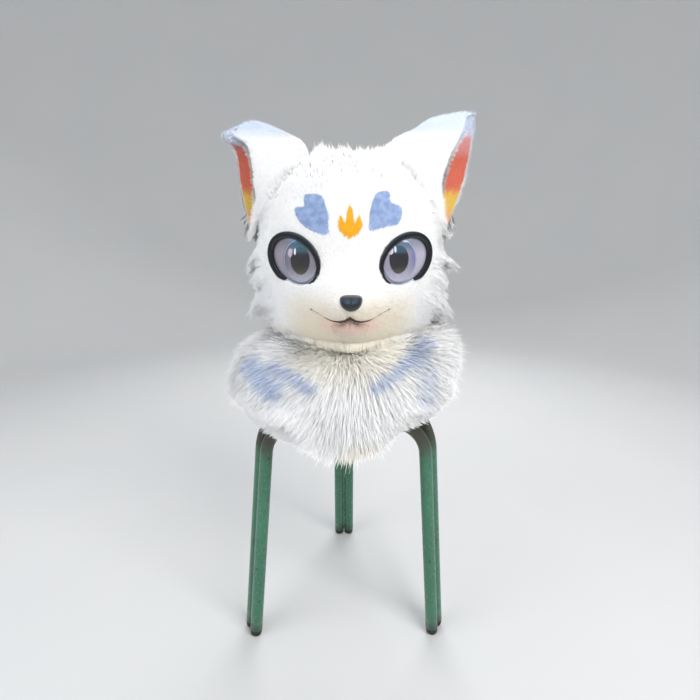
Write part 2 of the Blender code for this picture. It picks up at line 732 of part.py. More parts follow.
def mouth_outline(shrink, top_drop=0.0):
    """The mouth's edge, anticlockwise from the left corner along the lower lip."""
    half = MOUTH_HALF_WIDTH - shrink
    turned = [math.pi * (step / MOUTH_STEPS - 0.5) for step in range(MOUTH_STEPS + 1)]
    across = [half * math.sin(angle) for angle in turned]
    lower = []
    upper = []
    for x in across:
        depth = math.sqrt(max(0.0, 1 - (x / half) ** 2))
        top = mouth_line(x) - shrink - top_drop * depth
        low = mouth_line(x) - (MOUTH_TOP_Z - MOUTH_BOTTOM_Z) * depth + shrink
        lower.append((x, min(top - GAP, low)))
        upper.append((x, top))
    return lower + upper[::-1]


def mouth():
    """The mouth's pocket, with a dark lining at its back and the pink lower lip; its cutter comes back."""
    deepest = face_y(0, MOUTH_BOTTOM_Z) + MOUTH_DEPTH

    def slab(name, outline, front_at, back, finish):
        low = [(HEAD_X + x, back, z) for x, z in outline]
        high = [(HEAD_X + x, front_at(x, z), z) for x, z in outline]
        points, faces = prism(low, high)
        add_object(name, points, faces, finish)

    def lip_front(x, z):
        return min(face_y(x, z) - FACE_PILE + LIP_BEHIND, deepest - 2 * MOUTH_LINING)

    slab("mouth_lining", mouth_outline(GAP), lambda x, z: deepest - MOUTH_LINING, deepest - GAP, "mouth")
    slab("lower_lip", mouth_outline(GAP, LIP_DROP), lip_front, deepest - MOUTH_LINING - GAP, "lip")
    return front_prism("mouth_cutter", mouth_outline(0.0), face_y(0, MOUTH_TOP_Z) - CUT_PAST, deepest)


def face_mark(name, outline, middle_x, middle_z, finish, middle=None):
    """A thin inlay on the forehead."""
    surface = FACE_PILE + MARK_SEAT
    probe = 0.004

    def place(u, v, w):
        z = middle_z + v
        x = middle_x + u
        slope = (face_y(x, z + probe) - face_y(x, z - probe)) / (2 * probe)
        turn = (face_y(x + probe, z) - face_y(x - probe, z)) / (2 * probe)
        away = np.array((turn, -1.0, slope))
        away /= np.linalg.norm(away)
        return np.array((HEAD_X + x, face_y(x, z), z)) + away * (surface + w)

    return layered_plate(name, place, outline, lambda u, v: 0.0, lambda u, v: MARK_THICK, finish, middle)


def forehead_marks(sockets):
    """Two notched blue patches, cut where the eyes are set in, and a gold mark with three petals."""
    for socket, (side, label), table in zip(sockets, SIDES, (BROW_LEFT_OUTLINE, BROW_RIGHT_OUTLINE)):
        outline = [(row["across"] * side, row["up"]) for row in rows_of(table, MARK_COLUMNS)]
        cut(face_mark("brow_patch_" + label, outline, side * BROW_X, BROW_Z, "blue_fur"), socket)
    right = [(row["across"], row["up"]) for row in rows_of(FLAME_HALF, MARK_COLUMNS)]
    left = [(-across, up) for across, up in right[-2:0:-1]]
    face_mark("forehead_mark", right + left, 0.0, FLAME_Z, "gold_fur", FLAME_MIDDLE)


def ear_section(side, row):
    """One level section of an ear: its front, the hollow's edge, then its back."""
    root, front_rim, back_rim = row["root"], row["front_rim"], row["back_rim"]
    front_y, back_y = row["front_y"], row["back_y"]
    depth = back_y - front_y
    wall = min(EAR_WALL, depth * EAR_WALL_SHARE)
    scoop = min(EAR_SCOOP, (front_rim - root) / 2)
    bulge = EAR_BULGE * depth
    outside = (
        (root, back_y + bulge * EAR_SWELL_AT_ROOT),
        (root, front_y - bulge * EAR_SWELL_AT_ROOT),
        ((root * 2 + front_rim) / 3, front_y - bulge),
        ((root + front_rim * 2) / 3, front_y - bulge * EAR_SWELL_FRONT),
        (front_rim, front_y),
    )
    hollow = ear_hollow(front_rim, back_rim, front_y, back_y, wall, scoop)
    behind = (
        (back_rim, back_y),
        ((root + back_rim * 2) / 3, back_y + bulge * EAR_SWELL_BACK),
        ((root * 2 + back_rim) / 3, back_y + bulge),
    )
    plan = list(outside) + hollow + list(behind)
    return [(HEAD_X + side * x, HEAD_Y + y, row["z"]) for x, y in plan]


def ear_hollow(front_rim, back_rim, front_y, back_y, wall, scoop):
    """The hollow's edge in plan, from the front rim round to the back rim."""
    start = np.array((front_rim - wall * EAR_LIP_FRONT, front_y + wall))
    end = np.array((back_rim - wall * EAR_LIP_BACK, back_y - wall * EAR_LIP_AHEAD))
    points = []
    for step in range(EAR_HOLLOW_STEPS + 1):
        share = step / EAR_HOLLOW_STEPS
        level = start + (end - start) * share
        level[0] -= scoop * math.sin(math.pi * share)
        points.append(tuple(level))
    return points


def ear(side, label, table, tip, head_cutter):
    """One ear: the foam and fur cup on the crown, and the coloured lining of its hollow."""
    rows = rows_of(table, EAR_COLUMNS)
    rings = [ear_section(side, row) for row in rows]
    peak = (HEAD_X + side * tip[0], HEAD_Y + tip[1], tip[2])
    points, faces = closed_loft(rings, peak)
    cup = add_object("ear_" + label, points, faces, "long_fur")
    cut(cup, head_cutter)
    front_points = 5
    hollow_points = slice(front_points, front_points + EAR_HOLLOW_STEPS + 1)
    hollow = np.array([ring[hollow_points] for ring in rings[1:-1]])
    away = normals_of(hollow, False)
    away *= np.sign(away[2, 2, 0] * side)
    inner = hollow + away * GAP * 1.5
    outer = hollow + away * (GAP * 1.5 + EAR_LINING)
    points, faces = sheet_slab(inner, outer)
    lining = add_object("ear_lining_" + label, points, faces, "coral")
    cut(lining, head_cutter)


def sheet_slab(under, over):
    """Points and faces of an open sheet with a thickness."""
    rows, columns = under.shape[:2]
    points = list(under.reshape(-1, 3)) + list(over.reshape(-1, 3))
    shift = rows * columns
    faces = []
    for row in range(rows - 1):
        for column in range(columns - 1):
            a = row * columns + column
            quad = (a, a + 1, a + columns + 1, a + columns)
            faces.append(quad[::-1])
            faces.append(tuple(i + shift for i in quad))
    edge = [c for c in range(columns)]
    edge += [r * columns + columns - 1 for r in range(1, rows)]
    edge += [(rows - 1) * columns + c for c in range(columns - 2, -1, -1)]
    edge += [r * columns for r in range(rows - 2, 0, -1)]
    for start, end in zip(edge, edge[1:] + edge[:1]):
        faces.append((start, end, end + shift, start + shift))
    return points, faces


def ear_hole(side, table, label):
    """The space that an ear takes in the crown fur, a little wider than the ear."""
    rings = []
    for row in rows_of(table, EAR_COLUMNS):
        section = np.array(ear_section(side, row))
        filled = np.concatenate([section[:5], section[-3:]])
        along = np.roll(filled, -1, axis=0) - np.roll(filled, 1, axis=0)
        away = np.stack([along[:, 1], -along[:, 0], np.zeros(len(filled))], axis=1) * side
        away /= np.linalg.norm(away, axis=1, keepdims=True)
        rings.append(filled + away * EAR_HOLE_SPARE)
    rings[0][:, 2] -= 2 * EAR_HOLE_SPARE
    rings[-1][:, 2] += 2 * EAR_HOLE_SPARE
    points, faces = closed_loft(rings, np.mean(rings[-1], axis=0) + np.array((0, 0, EAR_HOLE_SPARE)))
    return hide_cutter(add_object("ear_hole_cutter_" + label, points, faces, "foam"))


def bib():
    """The bib: a thin cloth cape round the neck and the long fur on it."""
    rows = rows_of(BIB_SECTIONS, BIB_COLUMNS)
    angles = turns(BIB_TURNS)
    rings = []
    for index, row in enumerate(rows):
        share = index / (len(rows) - 1)
        ring = level_section(angles, row["z"], row["half_width"], row["front"], row["back"])
        dip = BIB_FRONT_DIP * np.maximum(0, np.cos(angles)) ** 2
        ring[:, 2] += share * (BIB_TILT * (ring[:, 0] - HEAD_X) - dip)
        ring[:, 0] += BIB_X * share
        rings.append(ring)
    grid = np.array(rings)[::-1]
    out = normals_of(grid, True)
    last = len(rows) - 1
    inner = grid - out * BIB_CLOTH
    points = []
    faces = []
    for sheet in (grid, inner):
        points += list(sheet.reshape(-1, 3))
    shift = grid.shape[0] * BIB_TURNS
    for row in range(last):
        for step in range(BIB_TURNS):
            after = (step + 1) % BIB_TURNS
            low = row * BIB_TURNS
            quad = (low + step, low + after, low + BIB_TURNS + after, low + BIB_TURNS + step)
            faces.append(quad)
            faces.append(tuple(i + shift for i in quad)[::-1])
    for row in (0, last):
        for step in range(BIB_TURNS):
            after = (step + 1) % BIB_TURNS
            low = row * BIB_TURNS
            faces.append((low + step, low + after, low + after + shift, low + step + shift))
    add_object("bib_cloth", points, faces, "cloth")
    piles = [row["pile"] for row in rows][::-1]

    def lock(row, column):
        level = (piles[row] + piles[row + 1]) / 2 / max(piles)
        stagger = 0.65 + 0.35 * ((row * 2 + column * 3) % 5) / 4
        away = out[row, column]
        down = np.array((0.0, 0.0, -1.0))
        down = down - away * down.dot(away)
        if row == 0:
            return down * BIB_HEM_DROP * stagger
        return (away * BIB_LOCK + down * BIB_LOCK_DROP) * level * stagger

    cells = [(row, column) for row in range(last) for column in range(BIB_TURNS)]
    skin("bib_fur", grid, cells, "long_fur", lambda row, column: piles[row], lock)


def leg_line(name, offset):
    """The foot's and the top's middle of one tube of a leg, offset sideways from the leg's middle."""
    row = dict(zip(LEG_COLUMNS, LEGS[name]))
    angle = math.radians(row["angle_deg"])
    outward = np.array((math.cos(angle), math.sin(angle), 0.0))
    sideways = np.array((-math.sin(angle), math.cos(angle), 0.0)) * offset
    middle = np.array((STOOL_X, STOOL_Y, 0.0))
    top_z = SEAT_TOP - SEAT_THICK - GAP - TUBE_RADIUS
    foot = middle + outward * row["foot_radius"] + sideways
    top = middle + outward * row["top_radius"] + sideways
    top[2] = top_z
    return foot, top


def rounded_route(corners, radius, steps):
    """A route through corners whose inner ones are rounded with an arc."""
    route = [corners[0]]
    for before, corner, after in zip(corners, corners[1:], corners[2:]):
        back = (before - corner) / np.linalg.norm(before - corner)
        ahead = (after - corner) / np.linalg.norm(after - corner)
        half = math.acos(float(back.dot(ahead))) / 2
        reach = radius / math.tan(half)
        centre = corner + (back + ahead) / np.linalg.norm(back + ahead) * radius / math.sin(half)
        start = corner + back * reach - centre
        end = corner + ahead * reach - centre
        sweep = math.pi - 2 * half
        for step in range(steps + 1):
            share = step / steps
            arm = (start * math.sin((1 - share) * sweep) + end * math.sin(share * sweep)) / math.sin(sweep)
            route.append(centre + arm)
    route.append(corners[-1])
    return route


def tube(name, route, radius):
    curve = bpy.data.curves.new(name, "CURVE")
    curve.dimensions = "3D"
    curve.bevel_depth = radius
    curve.bevel_resolution = 2
    curve.use_fill_caps = True
    spline = curve.splines.new("POLY")
    spline.points.add(len(route) - 1)
    for point, place in zip(spline.points, route):
        point.co = (*place, 1.0)
    curve.materials.append(material("paint"))
    made = bpy.data.objects.new(name, curve)
    bpy.context.collection.objects.link(made)
    return made


def foot(name, low, direction):
    """A rubber plug on the end of a tube, flat where it stands on the floor."""
    end = low + direction * (FOOT_HEIGHT / direction[2])
    helper = np.cross(direction, (0.0, 1.0, 0.0))
    first = helper / np.linalg.norm(helper)
    second = np.cross(direction, first)
    around = [2 * math.pi * step / FOOT_TURNS for step in range(FOOT_TURNS)]
    arms = [first * math.cos(angle) + second * math.sin(angle) for angle in around]
    level = np.array((1.0, 1.0, 0.0))
    sole = [low + arm * level * FOOT_FLAT for arm in arms]
    waist = [end - direction * FOOT_HEIGHT / 2 + arm * FOOT_WAIST for arm in arms]
    upper = [end - direction * GAP + arm * FOOT_TOP for arm in arms]
    points, faces = closed_loft([sole, waist, upper], end - direction * GAP)
    add_object(name, points, faces, "rubber")


def stool():
    """Round seat on three upturned U tubes, with a plug in each tube's end."""
    offset = TUBE_RADIUS + GAP / 2
    for label, (start, end) in TUBES.items():
        start_foot, start_top = leg_line(start, offset)
        end_foot, end_top = leg_line(end, -offset)
        ends = []
        for name, low, high in ((start, start_foot, start_top), (end, end_foot, end_top)):
            direction = (high - low) / np.linalg.norm(high - low)
            foot("foot_" + name + "_" + label, low, direction)
            ends.append(low + direction * (FOOT_HEIGHT / direction[2]))
        corners = [ends[0], start_top, end_top, ends[1]]
        tube("tube_" + label, rounded_route(corners, TUBE_BEND, BEND_STEPS), TUBE_RADIUS)
    around = [2 * math.pi * step / SEAT_TURNS for step in range(SEAT_TURNS)]
    bottom = SEAT_TOP - SEAT_THICK
    levels = ((SEAT_RADIUS - SEAT_EDGE, bottom), (SEAT_RADIUS, bottom + SEAT_EDGE),
              (SEAT_RADIUS, SEAT_TOP - SEAT_EDGE), (SEAT_RADIUS - SEAT_EDGE, SEAT_TOP))
    rings = [[(STOOL_X + radius * math.cos(angle), STOOL_Y + radius * math.sin(angle), z)
              for angle in around] for radius, z in levels]
    points, faces = closed_loft(rings, (STOOL_X, STOOL_Y, SEAT_TOP))
    add_object("seat", points, faces, "seat")


def build():
    clear_scene()
    grid = head_grid()
    foam = head_foam(grid)
    face, crown = head_furs(grid)
    form = head_form(grid, GAP)
    sockets = [eye(side, label) for side, label in SIDES]
    for cutter in sockets:
        cut(foam["foam_face"], cutter)
        cut(face, cutter)
    for cutter in (nose(), mouth()):
        cut(foam["foam_jaw"], cutter)
        cut(face, cutter)
    forehead_marks(sockets)
    for (side, label), table, tip in zip(SIDES, (EAR_LEFT, EAR_RIGHT), (EAR_LEFT_TIP, EAR_RIGHT_TIP)):
        ear(side, label, table, tip, form)
        cut(crown, ear_hole(side, table, label))
    bib()
    stool()


build()
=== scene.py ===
import math

import bpy
import numpy as np
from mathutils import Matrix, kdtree


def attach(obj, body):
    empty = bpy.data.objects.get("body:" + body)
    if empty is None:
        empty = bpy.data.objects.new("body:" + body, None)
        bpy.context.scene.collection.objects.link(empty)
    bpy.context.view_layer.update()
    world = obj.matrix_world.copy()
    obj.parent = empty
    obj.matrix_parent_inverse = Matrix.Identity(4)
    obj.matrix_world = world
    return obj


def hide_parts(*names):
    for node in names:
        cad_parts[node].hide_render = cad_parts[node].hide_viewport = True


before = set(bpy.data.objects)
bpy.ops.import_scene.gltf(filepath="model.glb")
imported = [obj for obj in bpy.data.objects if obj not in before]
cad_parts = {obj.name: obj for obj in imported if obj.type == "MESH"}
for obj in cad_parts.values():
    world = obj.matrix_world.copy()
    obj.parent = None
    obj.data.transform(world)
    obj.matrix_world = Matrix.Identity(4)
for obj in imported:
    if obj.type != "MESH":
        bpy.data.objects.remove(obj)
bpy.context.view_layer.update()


# Foam of the head. Blocks of grey upholstery foam are glued up and carved to the head's outer form,
# hollow for the wearer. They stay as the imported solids; everything below is laid over the same form.
HEAD_X, HEAD_Y = 0.0055, -0.0072
HEAD_SECTIONS = (            # height, half width, depth in front and behind, and how far the muzzle stands out
    (0.4453, 0.100, 0.094, 0.114, 0.000),
    (0.5480, 0.100, 0.094, 0.114, 0.000),
    (0.5570, 0.106, 0.112, 0.120, 0.008),
    (0.5640, 0.113, 0.122, 0.125, 0.022),
    (0.5760, 0.120, 0.128, 0.130, 0.031),
    (0.5910, 0.126, 0.132, 0.135, 0.036),
    (0.6060, 0.131, 0.134, 0.139, 0.039),
    (0.6210, 0.136, 0.134, 0.143, 0.040),
    (0.6395, 0.140, 0.133, 0.147, 0.028),
    (0.6580, 0.143, 0.131, 0.151, 0.012),
    (0.6820, 0.145, 0.129, 0.154, 0.002),
    (0.7080, 0.144, 0.127, 0.156, 0.000),
    (0.7340, 0.140, 0.123, 0.155, 0.000),
    (0.7580, 0.133, 0.116, 0.150, 0.000),
    (0.7800, 0.122, 0.105, 0.141, 0.000),
    (0.7990, 0.106, 0.089, 0.126, 0.000),
    (0.8150, 0.084, 0.067, 0.104, 0.000),
    (0.8260, 0.053, 0.038, 0.070, 0.000),
)
HEAD_TOP_LEVEL = len(HEAD_SECTIONS) - 1
CROWN_Z, CROWN_BACK = 0.8310, 0.016
ROUNDNESS, MUZZLE_HALF_WIDTH = 2.3, 0.046
FOAM_CELL = 0.0009


class Shade:
    """A shader socket. Sums on it add their Math nodes, and node() adds any other node."""

    def __init__(self, tree, socket=None):
        self.tree = tree
        self.socket = socket

    def node(self, kind, settings=(), sockets=(), output=0):
        """Another node, with its settings and what goes into its sockets."""
        made = self.tree.nodes.new(kind)
        for name, value in dict(settings).items():
            setattr(made, name, value)
        for name, value in dict(sockets).items():
            if isinstance(value, Shade):
                self.tree.links.new(value.socket, made.inputs[name])
            elif made.inputs[name].type == "RGBA" and len(value) == 3:
                made.inputs[name].default_value = (*value, 1.0)
            else:
                made.inputs[name].default_value = value
        return Shade(self.tree, made.outputs[output])

    def sum(self, operation, *values, clamp=False):
        """A Math node on values and sockets."""
        settings = {"operation": operation, "use_clamp": clamp}
        return self.node("ShaderNodeMath", settings, dict(enumerate(values)))

    def __add__(self, other):
        return self.sum("ADD", self, other)

    def __radd__(self, other):
        return self.sum("ADD", other, self)

    def __sub__(self, other):
        return self.sum("SUBTRACT", self, other)

    def __rsub__(self, other):
        return self.sum("SUBTRACT", other, self)

    def __mul__(self, other):
        return self.sum("MULTIPLY", self, other)

    def __rmul__(self, other):
        return self.sum("MULTIPLY", other, self)

    def __truediv__(self, other):
        return self.sum("DIVIDE", self, other)

    def __rtruediv__(self, other):
        return self.sum("DIVIDE", other, self)

    def __abs__(self):
        return self.sum("ABSOLUTE", self)

    def held(self):
        """The value held between 0 and 1."""
        return self.sum("ADD", self, 0.0, clamp=True)

    def either(self, other):
        """The larger of two values."""
        return self.sum("MAXIMUM", self, other)

    def rise(self, low, high):
        """0 below low, 1 above high, and smooth between; it falls where low is the higher one."""
        settings = {"interpolation_type": "SMOOTHSTEP"}
        return self.node("ShaderNodeMapRange", settings, {0: self, 1: low, 2: high})

    def tint(self, low, high):
        """A colour between two, by this value."""
        return self.node("ShaderNodeMix", {"data_type": "RGBA"}, {0: self, 6: low, 7: high}, output=2)

    def axis(self, name):
        """One part of a vector: X, Y or Z."""
        return self.node("ShaderNodeSeparateXYZ", {}, {0: self}, output=name)

    def note(self, name, output="Vector"):
        """What new_mesh keeps with the piece's points under a name."""
        return self.node("ShaderNodeAttribute", {"attribute_name": name}, output=output)

    def noise(self, size, detail=2.0, stretch=(1.0, 1.0, 1.0)):
        """Noise whose lumps have a size in metres, at this place."""
        scaled = self.node("ShaderNodeVectorMath", {"operation": "MULTIPLY"}, {0: self, 1: stretch})
        return self.node("ShaderNodeTexNoise", {}, {"Vector": scaled, "Scale": 1 / size, "Detail": detail})

    def grain(self, height, distance):
        """A bumped normal from a height."""
        return self.node("ShaderNodeBump", {}, {"Height": height, "Strength": 1.0, "Distance": distance})


def new_finish(name):
    """A material with a bare shader, its surface shader's sockets, and the place on the piece."""
    made = bpy.data.materials.new(name)
    made.use_nodes = True
    shader = made.node_tree.nodes["Principled BSDF"]
    place = Shade(made.node_tree).node("ShaderNodeTexCoord", output="Object")
    return made, shader, place


def coat(shader, **sockets):
    """Set the shader's sockets, or link what varies over the surface."""
    for name, value in sockets.items():
        socket = shader.inputs[name.replace("_", " ")]
        if isinstance(value, Shade):
            value.tree.links.new(value.socket, socket)
        elif isinstance(value, tuple) and len(value) == 3:
            socket.default_value = (*value, 1.0)
        else:
            socket.default_value = value


def eased(before, start, end, after, share):
    """A place between start and end, on the smooth curve through four places in a row."""
    cubic = 3 * (start - end) + after - before
    square = 2 * before - 5 * start + 4 * end - after
    return start + 0.5 * share * (end - before + share * (square + share * cubic))


def all_round(count):
    """Angles spread evenly over one turn."""
    return np.linspace(0, 2 * math.pi, count + 1)[:-1]


def between_rows(table, level):
    """The table's columns at any level between its rows, on a smooth curve through them."""
    rows = np.array(table)
    level = np.clip(np.asarray(level, float), 0, len(rows) - 1)
    low = np.minimum(level.astype(int), len(rows) - 2)
    share = (level - low)[..., None]
    return eased(*[rows[np.clip(low + step, 0, len(rows) - 1)] for step in (-1, 0, 1, 2)], share)


def oval_section(turn, half_width, front, back):
    """A squarish oval in plan: turn goes round from the middle of the front."""
    side, ahead = np.sin(turn), np.cos(turn)
    power = 2 / ROUNDNESS
    x = half_width * np.sign(side) * np.abs(side) ** power
    y = -np.where(ahead > 0, front, back) * np.sign(ahead) * np.abs(ahead) ** power
    return x, y


def head_form(turn, level):
    """Points on the foam's outside: turn goes round from the nose, level counts up the sections."""
    turn, level = np.broadcast_arrays(np.asarray(turn, float), np.asarray(level, float))
    z, half_width, front, back, muzzle = np.moveaxis(between_rows(HEAD_SECTIONS, level), -1, 0)
    x, y = oval_section(turn, half_width, front, back)
    y = y - muzzle * np.exp(-(x / MUZZLE_HALF_WIDTH) ** 2) * (np.cos(turn) > 0)
    cap = np.clip(level - HEAD_TOP_LEVEL, 0, 1)
    x = x * (1 - cap)
    y = CROWN_BACK + (y - CROWN_BACK) * (1 - cap)
    z = z + (CROWN_Z - HEAD_SECTIONS[-1][0]) * (1 - (1 - cap) ** 2)
    return np.stack([x + HEAD_X, y + HEAD_Y, z], axis=-1)


def outward(form, turn, level, toward=None):
    """Outward directions of a form; toward is a direction that they share, where the form needs one."""
    step = 0.01
    around = form(turn + step, level) - form(turn - step, level)
    upward = form(turn, level + step) - form(turn, level - step)
    out = np.cross(around, upward)
    length = np.linalg.norm(out, axis=-1, keepdims=True)
    out = np.where(length < 1e-12, (0.0, 0.0, 1.0), out / np.maximum(length, 1e-12))
    if toward is None:
        return out
    return out * np.where(out @ np.array(toward) < 0, -1.0, 1.0)[..., None]


foam, shader, place = new_finish("upholstery_foam")
cells = place.node("ShaderNodeTexVoronoi", {}, {"Vector": place, "Scale": 1 / FOAM_CELL}, output="Distance")
stains = place.noise(0.03, 3.0)
coat(shader, Base_Color=(cells * 0.5 + stains * 0.5).tint((0.42, 0.42, 0.41), (0.70, 0.70, 0.68)),
     Roughness=0.95, Normal=place.grain(cells, 0.0004), Specular_IOR_Level=0.2)
for name in ("foam_neck", "foam_jaw", "foam_nape", "foam_face", "foam_back", "foam_crown"):
    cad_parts[name].data.materials.clear()
    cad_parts[name].data.materials.append(foam)


# Short fur of the face. Long faux fur is clipped to a few millimetres over the snout, the brow and
# round the eyes, and glued to the foam. The lower snout is cream: partly airbrush, partly painted warm shade.
FACE_TURN, FACE_LEVELS = 0.96, (2.0, 14.4)
FACE_PILE_COUNT, FACE_HAIR = 120000, 0.0062
EYE_X, EYE_Y, EYE_Z = 0.0810, -0.1130, 0.6800
EYE_YAW, EYE_SLANT = math.radians(25), math.radians(36)
EYE_LONG, EYE_SHORT = 0.0450, 0.0345
NOSE_X, NOSE_Z, NOSE_HALF_WIDTH, NOSE_HALF_HEIGHT = HEAD_X + 0.0014, 0.6250, 0.0164, 0.0112
NOSE_WIDEST = 0.0036         # its widest level lies this far above its middle
MOUTH_HALF_WIDTH, MOUTH_TOP_Z, MOUTH_CORNER_Z, MOUTH_BOTTOM_Z = 0.031, 0.6010, 0.5985, 0.5750
SNOUT_TIP = np.array((HEAD_X, HEAD_Y - 0.174, NOSE_Z))
WHITE, SHADED_WHITE, CREAM = (0.93, 0.925, 0.915), (0.85, 0.87, 0.91), (0.84, 0.76, 0.61)
# The hairs' darkening deep in the pile is painted shade; the backing takes the same.
BACKING_DEPTH = 0.15          # the backing is as dark as the hairs are at this share of their length
TONE_SPREAD = 0.09            # how much darker the darkest hairs are
MARK_REACH, MARK_RISE = 0.035, 0.045     # no mark on the forehead is wider or higher from its middle


def eye_frame(side):
    """An eye's middle, and its directions towards the nose and out of the socket."""
    middle = np.array((HEAD_X + side * EYE_X, HEAD_Y + EYE_Y, EYE_Z))
    towards_nose = np.array((-side * math.cos(EYE_YAW), -math.sin(EYE_YAW), 0.0))
    return middle, towards_nose, np.array((side * math.sin(EYE_YAW), -math.cos(EYE_YAW), 0.0))


def slanted(across, up):
    """Lengths along and over an eye's slanted oval, from those towards the nose and up."""
    cos, sin = math.cos(EYE_SLANT), math.sin(EYE_SLANT)
    return across * cos - up * sin, across * sin + up * cos


def eye_trim(angle):
    """How far an eye's oval is cut back under its lower edge, round the oval."""
    degrees = np.degrees(angle) % 360
    return np.interp(degrees, (0, 258, 282, 330, 352, 360), (0.0, 0.0, 0.0028, 0.0028, 0.0, 0.0))


def in_eyes(points, grow):
    """Which points of the face lie over an eye's oval, grown by a length."""
    found = np.zeros(points.shape[:-1], bool)
    for side in (-1, 1):
        middle, towards_nose, outwards = eye_frame(side)
        arm = points - middle
        along, over = slanted(arm @ towards_nose, arm[..., 2])
        reach = grow - eye_trim(np.arctan2(over / EYE_SHORT, along / EYE_LONG))
        along, over = along / (EYE_LONG + reach), over / (EYE_SHORT + reach)
        found |= (along ** 2 + over ** 2 < 1) & (arm @ outwards > -0.05)
    return found


def mouth_edges(x):
    """Heights of the mouth's upper line and of its lower edge, across the face."""
    far = np.clip(np.abs(x) / MOUTH_HALF_WIDTH, 0, 1)
    notch = 0.0045 * np.exp(-(x / 0.006) ** 2)
    upper = MOUTH_TOP_Z + (MOUTH_CORNER_Z - MOUTH_TOP_Z) * far - 0.0035 * np.sin(math.pi * far) + notch
    depth = (MOUTH_TOP_Z - MOUTH_BOTTOM_Z) * np.sqrt(1 - far ** 2)
    return upper, upper - depth


def in_mouth(points, grow, below=None):
    """Which points lie over the mouth, grown by a length, and by another at its sides and below."""
    below = grow if below is None else below
    x, z = points[..., 0] - HEAD_X, points[..., 2]
    upper, lower = mouth_edges(x)
    inside = (np.abs(x) < MOUTH_HALF_WIDTH + below) & (z < upper + grow) & (z > lower - below)
    return inside & (points[..., 1] < HEAD_Y)


def in_nose(points, grow):
    """Which points lie over the nose, grown by a length."""
    x, z = points[..., 0] - NOSE_X, points[..., 2] - NOSE_Z - NOSE_WIDEST
    power = np.where(z > 0, 2.8, 2.0)
    tall = np.where(z > 0, NOSE_HALF_HEIGHT - NOSE_WIDEST, NOSE_HALF_HEIGHT + NOSE_WIDEST) + grow
    far = np.abs(x / (NOSE_HALF_WIDTH + grow)) ** power + np.abs(z / tall) ** power
    return (far < 1) & (points[..., 1] < HEAD_Y)


def new_mesh(name, points, triangles, finish, soft_normals=None, **notes):
    """A mesh piece from arrays; notes are values or vectors kept with its points."""
    mesh = bpy.data.meshes.new(name)
    mesh.vertices.add(len(points))
    mesh.vertices.foreach_set("co", np.asarray(points, np.float32).ravel())
    mesh.loops.add(triangles.size)
    mesh.loops.foreach_set("vertex_index", triangles.astype(np.int32).ravel())
    mesh.polygons.add(len(triangles))
    starts = np.arange(0, triangles.size, triangles.shape[1], dtype=np.int32)
    mesh.polygons.foreach_set("loop_start", starts)
    mesh.update(calc_edges=True)
    mesh.shade_smooth()
    for note, values in notes.items():
        vector = values.ndim == 2
        kept = mesh.attributes.new(note, "FLOAT_VECTOR" if vector else "FLOAT", "POINT")
        kept.data.foreach_set("vector" if vector else "value", values.astype(np.float32).ravel())
    if soft_normals is not None:
        mesh.normals_split_custom_set_from_vertices(soft_normals.astype(np.float32))
    mesh.materials.append(finish)
    made = bpy.data.objects.new(name, mesh)
    bpy.context.scene.collection.objects.link(made)
    return made


def seat(piece, slot, *nodes):
    """The piece rides with the whole and stands for its nodes, which are hidden; slot is not used."""
    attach(piece, "root")
    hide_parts(*nodes)
    return piece


def backing(name, form, turns, levels, size, lift, finish, keep=None, thick=0.0012, toward=None):
    """The fur's knitted backing: a thin closed sheet a little over a form."""
    columns, rows = size
    turn, level = np.meshgrid(np.linspace(*turns, columns + 1), np.linspace(*levels, rows + 1))
    base, out = form(turn, level), outward(form, turn, level, toward)
    sheets = [base + out * (lift + thick), base + out * lift]
    corner = np.arange((rows + 1) * (columns + 1)).reshape(rows + 1, columns + 1)
    quads = np.stack([corner[:-1, :-1], corner[:-1, 1:], corner[1:, 1:], corner[1:, :-1]], -1).reshape(-1, 4)
    if keep is not None:
        quads = quads[keep(sheets[0].reshape(-1, 3)[quads].mean(axis=1))]
    shift = corner.size
    edges = np.concatenate([quads[:, [a, (a + 1) % 4]] for a in range(4)])
    keys = {tuple(edge) for edge in edges}
    open_edges = np.array([edge for edge in keys if edge[::-1] not in keys])
    rim = np.stack([open_edges[:, 1], open_edges[:, 0], open_edges[:, 0] + shift, open_edges[:, 1] + shift], -1)
    faces = np.concatenate([quads, quads[:, ::-1] + shift, rim])
    points = np.concatenate([sheet.reshape(-1, 3) for sheet in sheets])
    used, faces = np.unique(faces, return_inverse=True)
    points = points[used]
    return new_mesh(name, points, faces.reshape(-1, 4), finish, root=points,
                    along=np.full(len(points), BACKING_DEPTH), shade=np.full(len(points), 0.5))


def scattered(form, turns, levels, count, seed, keep=None, toward=None):
    """Places spread evenly by area over part of a form, with their directions, turns and levels."""
    rng = np.random.default_rng(seed)
    columns, rows = 120, 100
    turn, level = np.meshgrid(np.linspace(*turns, columns + 1), np.linspace(*levels, rows + 1))
    points = form(turn, level)
    around = points[1:, 1:] - points[:-1, :-1]
    across = points[1:, :-1] - points[:-1, 1:]
    area = np.linalg.norm(np.cross(around, across), axis=-1).ravel()
    share = np.cumsum(area) / area.sum()
    cell = np.minimum(np.searchsorted(share, rng.random(count)), area.size - 1)
    row, column = np.divmod(cell, columns)
    turn = turns[0] + (turns[1] - turns[0]) * (column + rng.random(count)) / columns
    level = levels[0] + (levels[1] - levels[0]) * (row + rng.random(count)) / rows
    points = form(turn, level)
    if keep is not None:
        kept = keep(points)
        turn, level, points = turn[kept], level[kept], points[kept]
    return points, outward(form, turn, level, toward), turn, level, rng


def unit(vectors):
    """The vectors' directions."""
    return vectors / np.maximum(np.linalg.norm(vectors, axis=-1, keepdims=True), 1e-9)


def on_skin(vectors, out):
    """Directions laid down on the skin."""
    return unit(vectors - out * np.sum(vectors * out, axis=-1, keepdims=True))


